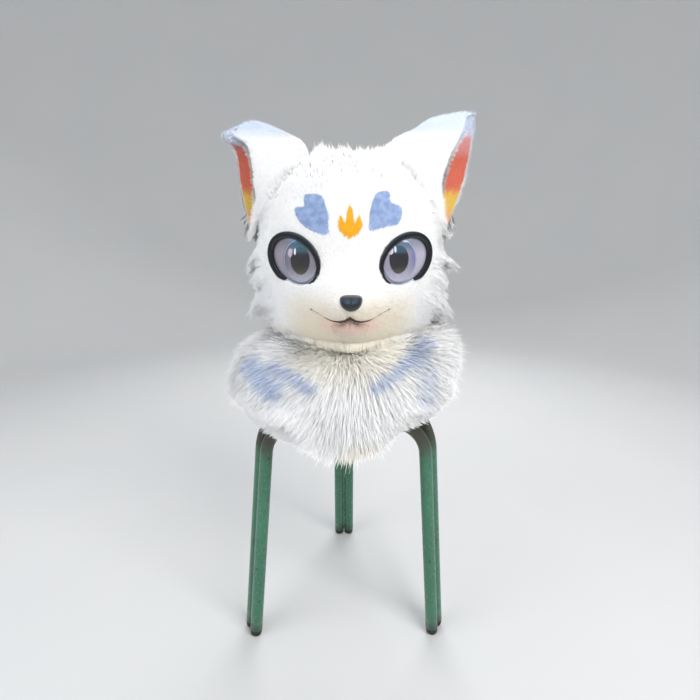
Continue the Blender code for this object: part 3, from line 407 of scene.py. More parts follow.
def wander(points, size, seed):
    """Smooth random directions over a piece, for the way that its fur strays in patches."""
    rng = np.random.default_rng(seed)
    waves = rng.normal(0, 1, (3, 5, 3)) / size
    phases = rng.uniform(0, 2 * math.pi, (3, 5))
    sums = [np.sin(points @ wave.T + phase).sum(axis=1) for wave, phase in zip(waves, phases)]
    return np.stack(sums, -1) / 2.2


def vectors(x, y, z):
    """One direction for each place, from parts that are the same everywhere or given for each."""
    return np.stack(np.broadcast_arrays(x, y, z), -1)


def fur(name, roots, out, comb, length, width, finish, rng, stand=0.5, droop=0.6, sag=0.0,
        stray=0.12, locks=0, pull=0.6, clear=None, facing=None, steps=2, mark=None):
    """Hairs as flat pointed blades.

    out is the skin's direction and comb the way that the fur is brushed. stand is how steeply a hair
    leaves the skin, droop and sag how far it bends towards comb and down. With locks, the tips
    gather at that many of the hairs. clear drops the hairs whose tip it finds in the way. mark is a
    value for each hair that its finish may use.
    """
    count = len(roots)
    start = unit(out * np.reshape(stand, (-1, 1)) + comb * (1 - np.reshape(stand, (-1, 1)))
                 + rng.normal(0, stray, (count, 3)))
    end = unit(start + comb * droop + np.array((0.0, 0.0, -1.0)) * sag + rng.normal(0, stray, (count, 3)))
    reach = (np.broadcast_to(length, count) * rng.uniform(0.75, 1.1, count))[:, None]
    shares = [0.0, 1.0] if steps == 1 else [0.0, 0.5, 1.0]
    line = [roots + reach * (start * t + (end - start) * t * t / 2) for t in shares]
    if locks:
        pull = np.broadcast_to(pull, count)
        heads = rng.choice(count, locks, replace=False)
        tree = kdtree.KDTree(locks)
        for index, head in enumerate(heads):
            tree.insert(line[-1][head], index)
        tree.balance()
        mine = heads[[tree.find(tip)[1] for tip in line[-1]]]
        shift = (line[-1][mine] - line[-1]) * np.reshape(pull * rng.uniform(0.6, 1.0, count), (-1, 1))
        near = np.clip(1.6 * reach / np.maximum(np.linalg.norm(shift, axis=1, keepdims=True), 1e-6), 0, 1)
        line = [place + shift * near * t ** 1.6 for place, t in zip(line, shares)]
    kept = np.ones(count, bool) if clear is None else ~(clear(line[-1]) | clear(line[len(line) // 2]))
    hint = out if facing is None else unit(out + facing)
    side = unit(np.cross(end, hint)) * np.broadcast_to(width, count)[:, None] / 2
    tone = rng.random(count)
    mark = np.zeros(count) if mark is None else mark
    line = [place[kept] for place in line]
    side, tone, hint, roots, mark = side[kept], tone[kept], hint[kept], roots[kept], mark[kept]
    if steps == 1:
        points = np.stack([line[0] + side, line[0] - side, line[1]], 1)
        corners = np.array([[1, 0, 2]])
        along = np.array([0.0, 0.0, 1.0])
    else:
        points = np.stack([line[0] + side * 0.8, line[0] - side * 0.8, line[1] + side,
                           line[1] - side, line[2]], 1)
        corners = np.array([[1, 0, 2], [1, 2, 3], [3, 2, 4]])
        along = np.array([0.0, 0.0, 0.5, 0.5, 1.0])
    hairs, ring = points.shape[:2]
    triangles = (np.arange(hairs)[:, None, None] * ring + corners).reshape(-1, 3)
    facing_out = np.cross(points[:, 1] - points[:, 0], points[:, -1] - points[:, 0])
    flipped = np.sum(facing_out * hint, axis=1) > 0
    soft = unit(hint + unit(facing_out) * np.where(flipped, 0.25, -0.25)[:, None])
    return new_mesh(name, points.reshape(-1, 3), triangles, finish,
                    soft_normals=np.repeat(soft, ring, axis=0), root=np.repeat(roots, ring, axis=0),
                    along=np.tile(along, hairs), shade=np.repeat(tone, ring), mark=np.repeat(mark, ring))


def fur_finish(name, paint, deep=0.80):
    """Faux fur, with painted shade deep in the pile, and darker from hair to hair.

    paint gives its colour from the place of each hair's root, its share from root to tip and its mark.
    """
    made, shader, place = new_finish(name)
    root = place.note("root")
    along, tone = place.note("along", "Fac"), place.note("shade", "Fac")
    # Painted shade deep in the pile, darkest at the roots; the tone from hair to hair is the fur's own.
    light = deep + (1 - deep) * along.rise(0.0, 0.7) - TONE_SPREAD * tone
    mark = place.note("mark", "Fac")
    dark = light.tint((0.0, 0.0, 0.0), (1.0, 1.0, 1.0))
    colour = place.node("ShaderNodeMix", {"data_type": "RGBA", "blend_type": "MULTIPLY"},
                        {0: 1.0, 6: paint(root, along, mark), 7: dark}, output=2)
    coat(shader, Base_Color=colour, Roughness=0.7, Sheen_Weight=0.2, Specular_IOR_Level=0.3)
    return made


def face_paint(root, along, mark):
    """White with cool shadows, cream low on the snout that is partly airbrush and partly painted warm shade,
    and a blush at the mouth.
    """
    x, z = root.axis("X") - HEAD_X, root.axis("Z")
    ragged = (root.noise(0.02) - 0.5) * 0.02
    # cream low on the snout: partly airbrush, partly painted warm shade
    cream = (z + ragged).rise(0.648, 0.600) * (x * x).rise(0.0125, 0.0025)
    cool = root.noise(0.05).rise(0.35, 0.75) * 0.6 + root.noise(0.006, 3.0).rise(0.42, 0.70) * 0.5
    cream_and_shade = (cream * 0.9).tint((cool * 0.7).tint(WHITE, SHADED_WHITE), CREAM)
    blush = (x * x).rise(0.0026, 0.0) * z.rise(0.572, 0.595) * z.rise(0.606, 0.599)
    return (blush * 0.85).tint(cream_and_shade, (0.90, 0.64, 0.56))


BROW_X, BROW_Z, FLAME_Z = 0.0545, 0.7430, 0.7330
BROW_LEFT_OUTLINE = (
    (0.0083, 0.0270), (-0.0121, 0.0262), (-0.0206, 0.0103), (-0.0238, -0.0064), (-0.0230, -0.0262),
    (-0.0112, -0.0260), (0.0030, -0.0199), (0.0152, -0.0107), (0.0236, 0.0043), (0.0213, 0.0098),
    (0.0104, 0.0108), (0.0099, 0.0187),
)
BROW_RIGHT_OUTLINE = (
    (-0.0144, 0.0300), (0.0007, 0.0308), (0.0024, 0.0170), (0.0170, 0.0110), (0.0182, -0.0002),
    (0.0121, -0.0128), (-0.0042, -0.0169), (-0.0240, -0.0218), (-0.0270, -0.0170), (-0.0264, 0.0038),
    (-0.0215, 0.0208),
)
FLAME_HALF = (
    (0.0000, 0.0236), (0.0037, 0.0129), (0.0050, 0.0030), (0.0066, -0.0040), (0.0132, 0.0088),
    (0.0162, 0.0000), (0.0168, -0.0065), (0.0118, -0.0160), (0.0000, -0.0236),
)
CREASE = ((0.0000, 0.6052), (0.0035, 0.6028), (0.0080, 0.6000), (0.0160, 0.5980), (0.0260, 0.5984),
          (0.0340, 0.6005), (0.0460, 0.6058), (0.0590, 0.6112))


def rounded(outline):
    """A closed outline with its corners rounded."""
    corners = np.array(outline)
    rolled = [np.roll(corners, -step, axis=0) for step in (-1, 0, 1, 2)]
    return np.stack([eased(*rolled, share) for share in np.arange(5) / 5], axis=1).reshape(-1, 2)


def in_outline(points, middle_x, middle_z, outline, side=1):
    """Which points of the face lie over an outline, drawn on its front in width and height."""
    outline = np.array(outline)
    near = np.abs(points[..., 2] - middle_z) < MARK_RISE
    near &= (np.abs(points[..., 0] - middle_x) < MARK_REACH) & (points[..., 1] < HEAD_Y)
    x = (points[near][..., 0] - middle_x) * side
    z = points[near][..., 2] - middle_z
    inside = np.zeros(x.shape, bool)
    for start, end in zip(outline, np.roll(outline, -1, axis=0)):
        if start[1] != end[1]:
            crossing = start[0] + (z - start[1]) / (end[1] - start[1]) * (end[0] - start[0])
            inside ^= ((start[1] > z) != (end[1] > z)) & (x < crossing)
    found = np.zeros(points.shape[:-1], bool)
    found[near] = inside
    return found


def in_brow(points, side):
    """Which points lie under the brow patch of one side."""
    outline = BROW_LEFT_OUTLINE if side < 0 else BROW_RIGHT_OUTLINE
    return in_outline(points, HEAD_X + side * BROW_X, BROW_Z, rounded(outline), side)


def in_brows(points):
    """Which points lie under either brow patch."""
    return in_brow(points, -1) | in_brow(points, 1)


def in_flame(points):
    """Which points lie under the three-petal mark."""
    outline = FLAME_HALF + tuple((-x, z) for x, z in FLAME_HALF[-2:0:-1])
    return in_outline(points, HEAD_X, FLAME_Z, outline)


def near_crease(points, width):
    """Which points lie along the line that the closed mouth draws across the snout."""
    x = np.abs(points[..., 0] - HEAD_X)
    line = np.interp(x, *zip(*CREASE))
    return (np.abs(points[..., 2] - line) < width) & (x < CREASE[-1][0]) & (points[..., 1] < HEAD_Y)


def face_is_furred(points):
    """Where the white fur of the face has its roots."""
    bare = in_eyes(points, 0.0005) | in_mouth(points, 0.0, -0.007) | in_nose(points, 0.0)
    return ~(bare | in_brows(points) | in_flame(points) | near_crease(points, 0.0011))


def face_is_backed(points):
    """Where the backing of the face's fur runs: all but the eyes, the mouth and the nose."""
    return ~(in_eyes(points, 0.0012) | in_mouth(points, -0.001, -0.008) | in_nose(points, -0.003))


def in_face_holes(tips):
    """Which tips of the face's hairs would stand before an eye, the nose or the mouth."""
    return (in_eyes(tips, -0.0008) | in_nose(tips, -0.001) | near_crease(tips, 0.0004)
            | in_mouth(tips, -0.0010, -0.008))


face_finish = fur_finish("clipped_white_fur", face_paint)
seat(backing("face_fur_backing", head_form, (-FACE_TURN, FACE_TURN), FACE_LEVELS, (104, 84), 0.0004,
             face_finish, face_is_backed), "white_fur", "face_fur")
roots, out, turn, level, rng = scattered(head_form, (-FACE_TURN, FACE_TURN), FACE_LEVELS,
                                         FACE_PILE_COUNT, 11, face_is_furred)
comb = on_skin(roots - SNOUT_TIP, out)
edge = np.clip((np.abs(roots[:, 0] - HEAD_X) - 0.105) / 0.03, 0, 1) ** 2
edge = edge * 1.2 + np.clip((roots[:, 2] - 0.752) / 0.04, 0, 1) ** 2 * 1.5
seat(fur("face_fur_pile", roots + out * 0.001, out, comb, FACE_HAIR * (1 + edge), 0.0011, face_finish, rng,
         stand=0.42, droop=0.5, stray=0.16, steps=1, clear=in_face_holes), "white_fur", "face_fur")


# Ears. Foam cups glued upright on the crown, furred outside and at the rims with short white fur, and
# lined with a pile that was airbrushed from coral at the top through yellow to peach. Longer fur at
# their feet hides the seam with the head.
EAR_LEFT = (                  # height, then across the root, front and back edge, then the two faces' depth
    (0.722, 0.150, 0.164, 0.178, -0.004, 0.046),
    (0.745, 0.125, 0.156, 0.184, -0.014, 0.058),
    (0.775, 0.100, 0.152, 0.191, -0.020, 0.066),
    (0.805, 0.080, 0.152, 0.195, -0.020, 0.068),
    (0.835, 0.066, 0.156, 0.196, -0.014, 0.064),
    (0.858, 0.074, 0.166, 0.199, -0.004, 0.054),
    (0.874, 0.098, 0.190, 0.213, 0.010, 0.042),
    (0.884, 0.120, 0.184, 0.200, 0.016, 0.038),
    (0.893, 0.144, 0.158, 0.172, 0.020, 0.032),
)
EAR_RIGHT = (
    (0.722, 0.146, 0.158, 0.170, -0.004, 0.046),
    (0.745, 0.122, 0.149, 0.181, -0.014, 0.058),
    (0.775, 0.098, 0.145, 0.192, -0.020, 0.066),
    (0.805, 0.078, 0.148, 0.201, -0.020, 0.068),
    (0.835, 0.054, 0.157, 0.206, -0.014, 0.064),
    (0.860, 0.064, 0.169, 0.207, -0.004, 0.054),
    (0.882, 0.102, 0.183, 0.206, 0.008, 0.044),
    (0.901, 0.136, 0.190, 0.204, 0.018, 0.036),
    (0.907, 0.186, 0.196, 0.202, 0.022, 0.032),
)
EAR_WALL, EAR_WALL_SHARE = 0.013, 0.28
EAR_BULGE, EAR_SCOOP = 0.18, 0.030
EAR_PILE_COUNT, EAR_HAIR = 20000, 0.0085
LINING_COUNT, LINING_HAIR = 15000, 0.0070
STRAND_COUNT, STRAND_HAIR = 1100, 0.016
SEAM_COUNT, SEAM_HAIR = 24000, 0.020
EAR_FOOT_COUNT, EAR_FOOT_HAIR = 1500, 0.021
CORAL, YELLOW, PEACH = (0.78, 0.20, 0.13), (0.84, 0.58, 0.12), (0.86, 0.46, 0.26)


def through(knots, share):
    """Values on a smooth curve through some knots, at a share from the first to the last."""
    stack = np.stack(np.broadcast_arrays(*knots))
    count = len(knots)
    place = np.clip(share, 0, 1) * (count - 1)
    low = np.minimum(place.astype(int), count - 2)
    picks = [np.clip(low + step, 0, count - 1)[None] for step in (-1, 0, 1, 2)]
    return eased(*[np.take_along_axis(stack, pick, 0)[0] for pick in picks], place - low)


def ear_form(side, table, part):
    """One face of an ear: its front, its hollow or its back, from rim to root or rim to rim."""

    def form(share, level):
        share, level = np.broadcast_arrays(np.asarray(share, float), np.asarray(level, float))
        z, root, front, back, front_y, back_y = np.moveaxis(between_rows(table, level), -1, 0)
        depth = back_y - front_y
        wall = np.minimum(EAR_WALL, depth * EAR_WALL_SHARE)
        scoop = np.clip((front - root) / 2, 0, EAR_SCOOP)
        bulge = EAR_BULGE * depth
        start_x, start_y = front - wall * 0.2, front_y + wall
        end_x, end_y = back - wall * 0.3, back_y - wall * 0.8
        if part == "front":
            x = through([root, (root * 2 + front) / 3, (root + front * 2) / 3, front, start_x], share)
            y = through([front_y - bulge * 0.4, front_y - bulge, front_y - bulge * 0.7, front_y, start_y],
                        share)
        elif part == "hollow":
            x = start_x + (end_x - start_x) * share - scoop * np.sin(math.pi * np.clip(share, 0, 1))
            y = start_y + (end_y - start_y) * share
        else:
            x = through([end_x, back, (root + back * 2) / 3, (root * 2 + back) / 3, root], share)
            y = through([end_y, back_y, back_y + bulge * 0.8, back_y + bulge, back_y + bulge * 0.4], share)
        return np.stack([HEAD_X + side * x, HEAD_Y + y, z], axis=-1)

    return form


def in_ears(points, grow=0.0):
    """Which points lie inside an ear."""
    found = np.zeros(points.shape[:-1], bool)
    for side, table in ((-1, EAR_LEFT), (1, EAR_RIGHT)):
        rows = np.array(table[:-1])
        x = (points[..., 0] - HEAD_X) * side
        y, z = points[..., 1] - HEAD_Y, points[..., 2]
        root, back, front_y, back_y = [np.interp(z, rows[:, 0], rows[:, at]) for at in (1, 3, 4, 5)]
        swell = EAR_BULGE * (back_y - front_y) * 0.8 + grow
        found |= ((x > root - grow) & (x < back + grow) & (z > 0.72)
                  & (y > front_y - swell) & (y < back_y + swell))
    return found


def in_head(points, grow=0.0):
    """Which points lie inside the foam head, grown by a length."""
    rows = np.array(HEAD_SECTIONS)
    x, y, z = points[..., 0] - HEAD_X, points[..., 1] - HEAD_Y, points[..., 2]
    half, front, back = [np.interp(z, rows[:, 0], rows[:, at]) + grow for at in (1, 2, 3)]
    reach = np.where(y < 0, front, back)
    return (np.abs(x / half) ** ROUNDNESS + np.abs(y / reach) ** ROUNDNESS < 1) & (z < 0.826)


def off_head(points):
    """Which points lie outside the foam head."""
    return ~in_head(points)


def lofted(name, rings, finish, start=None, end=None, **notes):
    """A smooth piece through rings of points, closed by a point at each end, or running round in a loop."""
    rings = np.asarray(rings, float)
    rows, count = rings.shape[:2]
    index = np.arange(rows * count).reshape(rows, count)
    after = np.roll(index, -1, axis=1)
    last = rows if start is None else rows - 1
    low, high = index[:last], np.roll(index, -1, axis=0)[:last]
    low_after, high_after = after[:last], np.roll(after, -1, axis=0)[:last]
    faces = [np.stack([low, low_after, high_after], -1).reshape(-1, 3),
             np.stack([low, high_after, high], -1).reshape(-1, 3)]
    points = rings.reshape(-1, 3)
    if start is not None:
        points = np.concatenate([points, [start, end]])
        faces.append(np.stack([after[0], index[0], np.full(count, rows * count)], -1))
        faces.append(np.stack([index[-1], after[-1], np.full(count, rows * count + 1)], -1))
    return new_mesh(name, points, np.concatenate(faces), finish, **notes)


def ear_paint(root, along, mark):
    """White, airbrushed pale blue at the tip."""
    tip = root.axis("Z").rise(0.855, 0.885) * 0.8
    white = (root.noise(0.03) * 0.6).tint(WHITE, SHADED_WHITE)
    return tip.tint(white, (0.62, 0.71, 0.90))


def lining_paint(pale):
    """Peach, yellow and coral from the root up, and pale blue at the tip; pale is the lighter ear."""
    def paint(root, along, mark):
        z = root.axis("Z") + (root.noise(0.012) - 0.5) * 0.012
        low = z.rise(0.740, 0.762).tint(PEACH, YELLOW)
        mid = z.rise(0.776, 0.796).tint(low, CORAL)
        high = z.rise(0.835, 0.862).tint(mid, (0.88, 0.42, 0.42) if pale else (0.74, 0.24, 0.21))
        top = 0.876 if pale else 0.864
        return z.rise(top - 0.005, top + 0.005).tint(high, (0.70, 0.76, 0.90))
    return paint


ear_finish = fur_finish("short_ear_fur", ear_paint)
for side, label, table in ((-1, "left", EAR_LEFT), (1, "right", EAR_RIGHT)):
    ear, lining_node = "ear_" + label, "ear_lining_" + label
    faces = [ear_form(side, table, part) for part in ("front", "hollow", "back")]
    shares = [np.linspace(0, 1, count)[:-1] for count in (18, 16, 18)]
    levels = np.linspace(0, 8, 65)
    rings = np.array([np.concatenate([form(share, np.full_like(share, level))
                                      for form, share in zip(faces, shares)]) for level in levels])
    middles = rings.mean(axis=1)
    root_note = np.concatenate([rings.reshape(-1, 3), middles[[0, -1]]])
    cup = seat(lofted(ear + "_foam_and_backing", rings, ear_finish, middles[0], middles[-1],
                      root=root_note, along=np.full(len(root_note), 0.2)), "long_fur", ear)
    for part, form, toward, count, seed in (("front", faces[0], (0, -1, 0), 1.0, 21),
                                            ("back", faces[2], (0, 1, 0), 0.9, 22)):
        roots, out, share, level, rng = scattered(form, (0, 1), (0.2, 8.0), int(EAR_PILE_COUNT * count),
                                                  seed + side, off_head, toward)
        comb = on_skin(np.array((side * 0.55, 0.0, 0.85)), out)
        rim = np.clip((share - 0.80) / 0.2, 0, 1) if part == "front" else np.clip((0.25 - share) / 0.2, 0, 1)
        rim = rim * (-0.1 if part == "front" else 0.9)
        tip = np.clip((level - 6.6) / 1.2, 0, 1)
        comb = unit(comb + tip[:, None] * np.array((side * 0.9, 0.0, -0.55 if side < 0 else 0.1)))
        comb = unit(comb + wander(roots, 0.012, 28) * 0.25)
        base = in_head(roots, 0.016) * 1.0
        long = EAR_HAIR * (1 + rim + tip * (0.7 if side < 0 else 0.3) + base * 1.0)
        seat(fur(ear + "_" + part + "_fur", roots - out * 0.0006, out, comb, long, 0.0012, ear_finish, rng,
                 stand=0.30 + 0.1 * rim + 0.22 * base, droop=0.6, stray=0.15, steps=1), "long_fur", ear)
    lining = fur_finish("airbrushed_lining_" + label, lining_paint(side > 0), deep=0.72)
    inside, outer = (0.5, 7.4), (side, 0, 0)
    seat(backing(lining_node + "_backing", faces[1], (0.02, 0.98), inside, (24, 60), 0.0008, lining, off_head,
                 toward=outer), "ear_lining", lining_node)
    roots, out, share, level, rng = scattered(faces[1], (0.0, 1.0), inside, LINING_COUNT, 25 + side,
                                              off_head, outer)
    comb = on_skin(np.array((side * 0.3, -0.2, 0.9)), out)
    seat(fur(lining_node + "_pile", roots + out * 0.001, out, comb, LINING_HAIR, 0.0013, lining, rng,
             stand=0.4, droop=0.5, stray=0.16, steps=1), "ear_lining", lining_node)
    roots, out, share, level, rng = scattered(faces[1], (0.0, 0.08), (0.6, 6.2), STRAND_COUNT, 27 + side,
                                              off_head, outer)
    comb = np.tile((side * 0.90, -0.25, -0.30), (len(roots), 1))
    seat(fur(ear + "_strands", roots, out, comb, STRAND_HAIR, 0.0013, ear_finish, rng, stand=0.20, droop=0.7,
             stray=0.20, locks=130, pull=0.5), "long_fur", ear)


for side, label, table in ((-1, "left", EAR_LEFT), (1, "right", EAR_RIGHT)):
    ear = "ear_" + label
    roots, out, turn, level, rng = scattered(
        head_form, (side * 0.35, side * 1.45), (8.0, 16.5), SEAM_COUNT, 81 + side,
        lambda points: in_ears(points, 0.012) & ~in_ears(points, -0.003))
    comb = unit(on_skin(roots - SNOUT_TIP, out) + np.array((side * 0.3, 0.0, 0.4)))
    seat(fur(ear + "_seam_fur", roots, out, comb, SEAM_HAIR, 0.0013, ear_finish, rng, stand=0.46, droop=0.4,
             stray=0.20, steps=1, facing=np.array((0.0, -1.2, 0.8))), "long_fur", ear)
    for part, shares, toward in (("front", (0.45, 1.0), (0, -1, 0)), ("back", (0.0, 0.75), (0, 1, 0))):
        roots, out, share, level, rng = scattered(ear_form(side, table, part), shares, (0.0, 1.2),
                                                  EAR_FOOT_COUNT, 84 + side, None, toward)
        comb = unit(np.array((side * 0.55, 0.0, -1.0)) + wander(roots, 0.010, 86) * 0.4)
        seat(fur(ear + "_foot_" + part + "_fur", roots, out, comb, EAR_FOOT_HAIR, 0.0012, ear_finish, rng,
                 stand=0.35, droop=0.6, sag=0.2, stray=0.14, locks=110, pull=0.6), "long_fur", ear)


# Cheek furs. Long white faux fur glued on each side of the jaw, brushed out and down so that it ends in
# two tufts that widen the face.
CHEEK_COUNT, CHEEK_TURNS, CHEEK_LEVELS = 15000, (0.86, 1.86), (3.4, 9.3)
SHORTEST = 0.009              # length of the fur where the cheeks meet the clipped face
TUFTS = ((0.686, 0.011, 0.034), (0.655, 0.006, 0.012), (0.622, 0.011, 0.040))     # height, spread, extra length


def long_paint(root, along, mark):
    """White with cool shadows, and painted warm shade under the cheeks."""
    cool = (root.noise(0.02) * 0.8).tint(WHITE, SHADED_WHITE)
    # Painted warm shade, low on the front under the cheeks.
    under = root.axis("Z").rise(0.600, 0.560) * root.axis("Y").rise(0.06, -0.06) * 0.6
    return under.tint(cool, (0.86, 0.80, 0.68))


def side_length(z):
    """How long the side fur is at a height: two tufts, and shorter between them."""
    length = 0.016 + 0.012 * np.clip((0.70 - z) / 0.05, 0, 1)
    for height, spread, extra in TUFTS:
        length = length + extra * np.exp(-((z - height) / spread) ** 2)
    return length


long_finish = fur_finish("long_white_fur", long_paint, deep=0.90)
for side, label in ((-1, "left"), (1, "right")):
    cheek, turns = "cheek_fur_" + label, (side * CHEEK_TURNS[0], side * CHEEK_TURNS[1])
    roots, out, turn, level, rng = scattered(head_form, turns, CHEEK_LEVELS, CHEEK_COUNT, 31 + side)
    out = outward(head_form, turn, level, (side, 0, 0))
    back = np.clip((np.abs(turn) - 0.86) / 0.45, 0, 1)
    comb = on_skin(roots - SNOUT_TIP, out) * (1.2 - back[:, None]) + np.array((side * 0.5, 0.3, -0.75))
    comb = unit(on_skin(comb, out) + out * 0.3 * back[:, None] + wander(roots, 0.014, 35) * 0.22)
    length = (SHORTEST + (side_length(roots[:, 2]) - SHORTEST) * back) * (1.05 if side > 0 else 1.0)
    seat(fur(cheek + "_pile", roots + out * 0.001, out, comb, length, 0.0011, long_finish, rng,
             stand=0.32 + 0.16 * back, droop=0.5, sag=0.2, stray=0.08, locks=520, pull=0.75 * back,
             clear=lambda tips: in_eyes(tips, 0.002)), "long_fur", cheek)
    seat(backing(cheek + "_backing", head_form, turns, CHEEK_LEVELS, (24, 24), 0.0004, long_finish,
                 toward=(side, 0, 0)), "long_fur", cheek)


# Crown and back fur. One long white skin over the top, the sides above the cheeks and the back of the
# head, standing up in tufts between the ears.
CROWN_COUNT, SIDE_COUNT, BACK_COUNT, BACK_HAIR = 27000, 9000, 18000, 0.034


def turned_away(out, points, middle):
    """Directions, each turned round where it would point towards a middle."""
    return out * np.where(np.sum(out * (points - middle), axis=1) < 0, -1.0, 1.0)[:, None]


crown_parts = (
    ("top", (-math.pi, math.pi), (13.2, 17.9), CROWN_COUNT, 41),
    ("side_left", (-1.86, -0.88), (9.0, 13.6), SIDE_COUNT, 42),
    ("side_right", (0.88, 1.86), (9.0, 13.6), SIDE_COUNT, 43),
    ("back", (1.80, 2 * math.pi - 1.80), (3.2, 14.0), BACK_COUNT, 44),
)
for part, turns, levels, count, seed in crown_parts:
    roots, out, turn, level, rng = scattered(
        head_form, turns, levels, count, seed,
        lambda points: ~(in_ears(points) | in_brows(points)))
    if part == "top":
        kept = rng.random(len(roots)) < np.clip((level - 13.2) / 0.9, 0.0, 1)
        roots, out, turn, level = roots[kept], out[kept], turn[kept], level[kept]
    out = turned_away(out, roots, (HEAD_X, HEAD_Y, 0.70))
    x, y, z = (roots - (HEAD_X, HEAD_Y, 0.0)).T
    facing = None
    if part == "top":
        height = np.clip((z - 0.788) / 0.040, 0, 1)
        away = on_skin(roots - SNOUT_TIP, out)
        up = on_skin(vectors(x * 3, 0.25, 1.1), out)
        behind = np.clip(y / 0.05, 0, 1)[:, None]
        fall = on_skin(vectors(x * 3, 1.0, -0.6), out)
        up = unit(up * (1 - behind) + fall * behind)
        comb = unit(away * (1 - height[:, None]) + up * height[:, None] + wander(roots, 0.012, 45) * 0.3)
        length = 0.0070 + 0.0165 * height ** 1.5 + 0.012 * height * (rng.random(len(roots)) < 0.08)
        length = length + 0.014 * behind[:, 0]
        beside_ears = height * np.exp(-((np.abs(x) - 0.050) / 0.016) ** 2) * (1 - behind[:, 0])
        length = length + 0.011 * beside_ears
        stand = 0.30 + 0.36 * height - 0.16 * behind[:, 0] + 0.10 * beside_ears
        droop, sag, locks, pull = 0.4, 0.0, 1600, 0.50 * height ** 2 + 0.20 * behind[:, 0]
        facing = np.array((0.0, -1.1, 0.9)) * (1 - behind)
    elif part == "back":
        comb = unit(on_skin(vectors(x * 1.5, 0.2, -1.0), out) + wander(roots, 0.016, 46) * 0.25)
        length, stand, droop, sag, locks, pull = BACK_HAIR, 0.34, 0.5, 0.3, 1700, 0.5
    else:
        side = np.sign(x)
        back = np.clip((np.abs(turn) - 0.88) / 0.4, 0, 1)
        comb = on_skin(roots - SNOUT_TIP, out) * (1.2 - back[:, None])
        comb = comb + vectors(side * 0.5, 0.4, -0.65)
        comb = unit(on_skin(comb, out) + out * 0.2 * back[:, None] + wander(roots, 0.014, 47) * 0.22)
        length = SHORTEST + (side_length(z) - SHORTEST) * back
        stand, droop, sag, locks, pull = 0.32 + 0.13 * back, 0.5, 0.2, 330, 0.75 * back
    seat(fur("crown_fur_" + part, roots + out * 0.001, out, comb, length, 0.0012, long_finish, rng, stand=stand,
             droop=droop, sag=sag, stray=0.08, locks=locks, pull=pull, facing=facing,
             clear=lambda tips: in_eyes(tips, 0.002) | in_ears(tips, -0.002) | in_brows(tips)),
         "long_fur", "crown_fur")
    backed = (13.9, levels[1]) if part == "top" else levels
    seat(backing("crown_fur_" + part + "_backing", head_form, turns, backed, (48, 24), 0.0002, long_finish),
         "long_fur", "crown_fur")


# Eyes. A vacuum-formed clear dome over a printed eye, set in a glossy black rim that thins out to the
# dome's pale edge below. The print carries painted highlights, a painted teal reflection over the top of
# the iris and pupil, and painted shade that keeps the left eye darker than the right.
EYE_DEPTH, DOME_RISE, SOCKET_PLAY = 0.016, 0.0070, 0.0006
IRIS_SHIFT, IRIS_HALF = (0.0108, 0.0005), (0.0272, 0.0322)
PUPIL_SHIFTS, PUPIL_HALF = {"left": (0.0119, 0.0009), "right": (0.0132, 0.0026)}, (0.0150, 0.0205)
EYE_ROUND, RIM_ROUND = all_round(96), all_round(192)


def eye_point(side, u, v, w):
    """A place in the world from the eye's own: towards the nose, up and out."""
    middle, towards_nose, outwards = eye_frame(side)
    u, v, w = [value[..., None] for value in np.broadcast_arrays(u, v, w)]
    return middle + u * towards_nose + v * np.array((0.0, 0.0, 1.0)) + w * outwards


def upright(along, over):
    """Lengths towards the nose and up, from those along and over the slanted oval."""
    cos, sin = math.cos(EYE_SLANT), math.sin(EYE_SLANT)
    return along * cos + over * sin, over * cos - along * sin


def dome(u, v):
    """How far the clear dome stands out of the socket."""
    along, over = slanted(u, v)
    return DOME_RISE * np.clip(1 - (along / EYE_LONG) ** 2 - (over / EYE_SHORT) ** 2, 0, None)


def oval(wide, tall):
    """An upright oval's edge, from its half width and half height."""
    return wide * np.cos(EYE_ROUND), tall * np.sin(EYE_ROUND)


def disc(name, side, middle, edge, lift, thick, finish):
    """A printed disc that lies on the dome, closed behind, with an edge given from its middle."""
    shares = np.concatenate([np.linspace(0.04, 1.0, 16), [1.0, 0.5]])
    lifts = np.concatenate([np.full(16, lift), [lift - thick, lift - thick]])
    rings, spots = [], []
    for share, height in zip(shares, lifts):
        u, v = middle[0] + edge[0] * share, middle[1] + edge[1] * share
        along, over = slanted(u, v)
        cut = 0.0012 + eye_trim(np.arctan2(over / EYE_SHORT, along / EYE_LONG))
        far = np.hypot(along / (EYE_LONG - cut), over / (EYE_SHORT - cut))
        u, v = u / np.maximum(far, 1), v / np.maximum(far, 1)
        rings.append(eye_point(side, u, v, dome(u, v) + height))
        spots.append(vectors(u, v, share))
    top = eye_point(side, *middle, dome(*middle) + lift)
    under = eye_point(side, *middle, dome(*middle) + lift - thick)
    spots = np.concatenate([np.concatenate(spots), [(*middle, 0.0), (*middle, 0.0)]])
    return lofted(name, rings, finish, top, under, spot=spots)


def oval_mask(u, v, middle, half):
    """1 in an oval and 0 outside it."""
    across, up = (u - middle[0]) / half[0], (v - middle[1]) / half[1]
    return (across * across + up * up).rise(1.25, 0.75)


RIM_EDGES = (                 # round the oval: degrees, the band's inner and outer edge, and how full it is
    (0, -0.0050, 0.0012, 0.60), (40, -0.0052, 0.0012, 0.60), (65, -0.0056, 0.0018, 0.70),
    (90, -0.0062, 0.0028, 0.85), (120, -0.0062, 0.0036, 0.95), (180, -0.0048, 0.0054, 1.00),
    (235, -0.0042, 0.0056, 1.00), (262, -0.0038, 0.0050, 0.95), (271, -0.0028, 0.0034, 0.70),
    (277, -0.0014, 0.0010, 0.00), (334, -0.0014, 0.0010, 0.00), (340, -0.0026, 0.0012, 0.25),
    (348, -0.0042, 0.0012, 0.50), (360, -0.0050, 0.0012, 0.60),
)
# The pale ovals and small sparks on the iris and pupil are painted highlights.
LIGHT_HALF, GLINT_HALF, GLINT_TONE = (0.0042, 0.0062), (0.0017, 0.0050), (0.50, 0.58, 0.66)

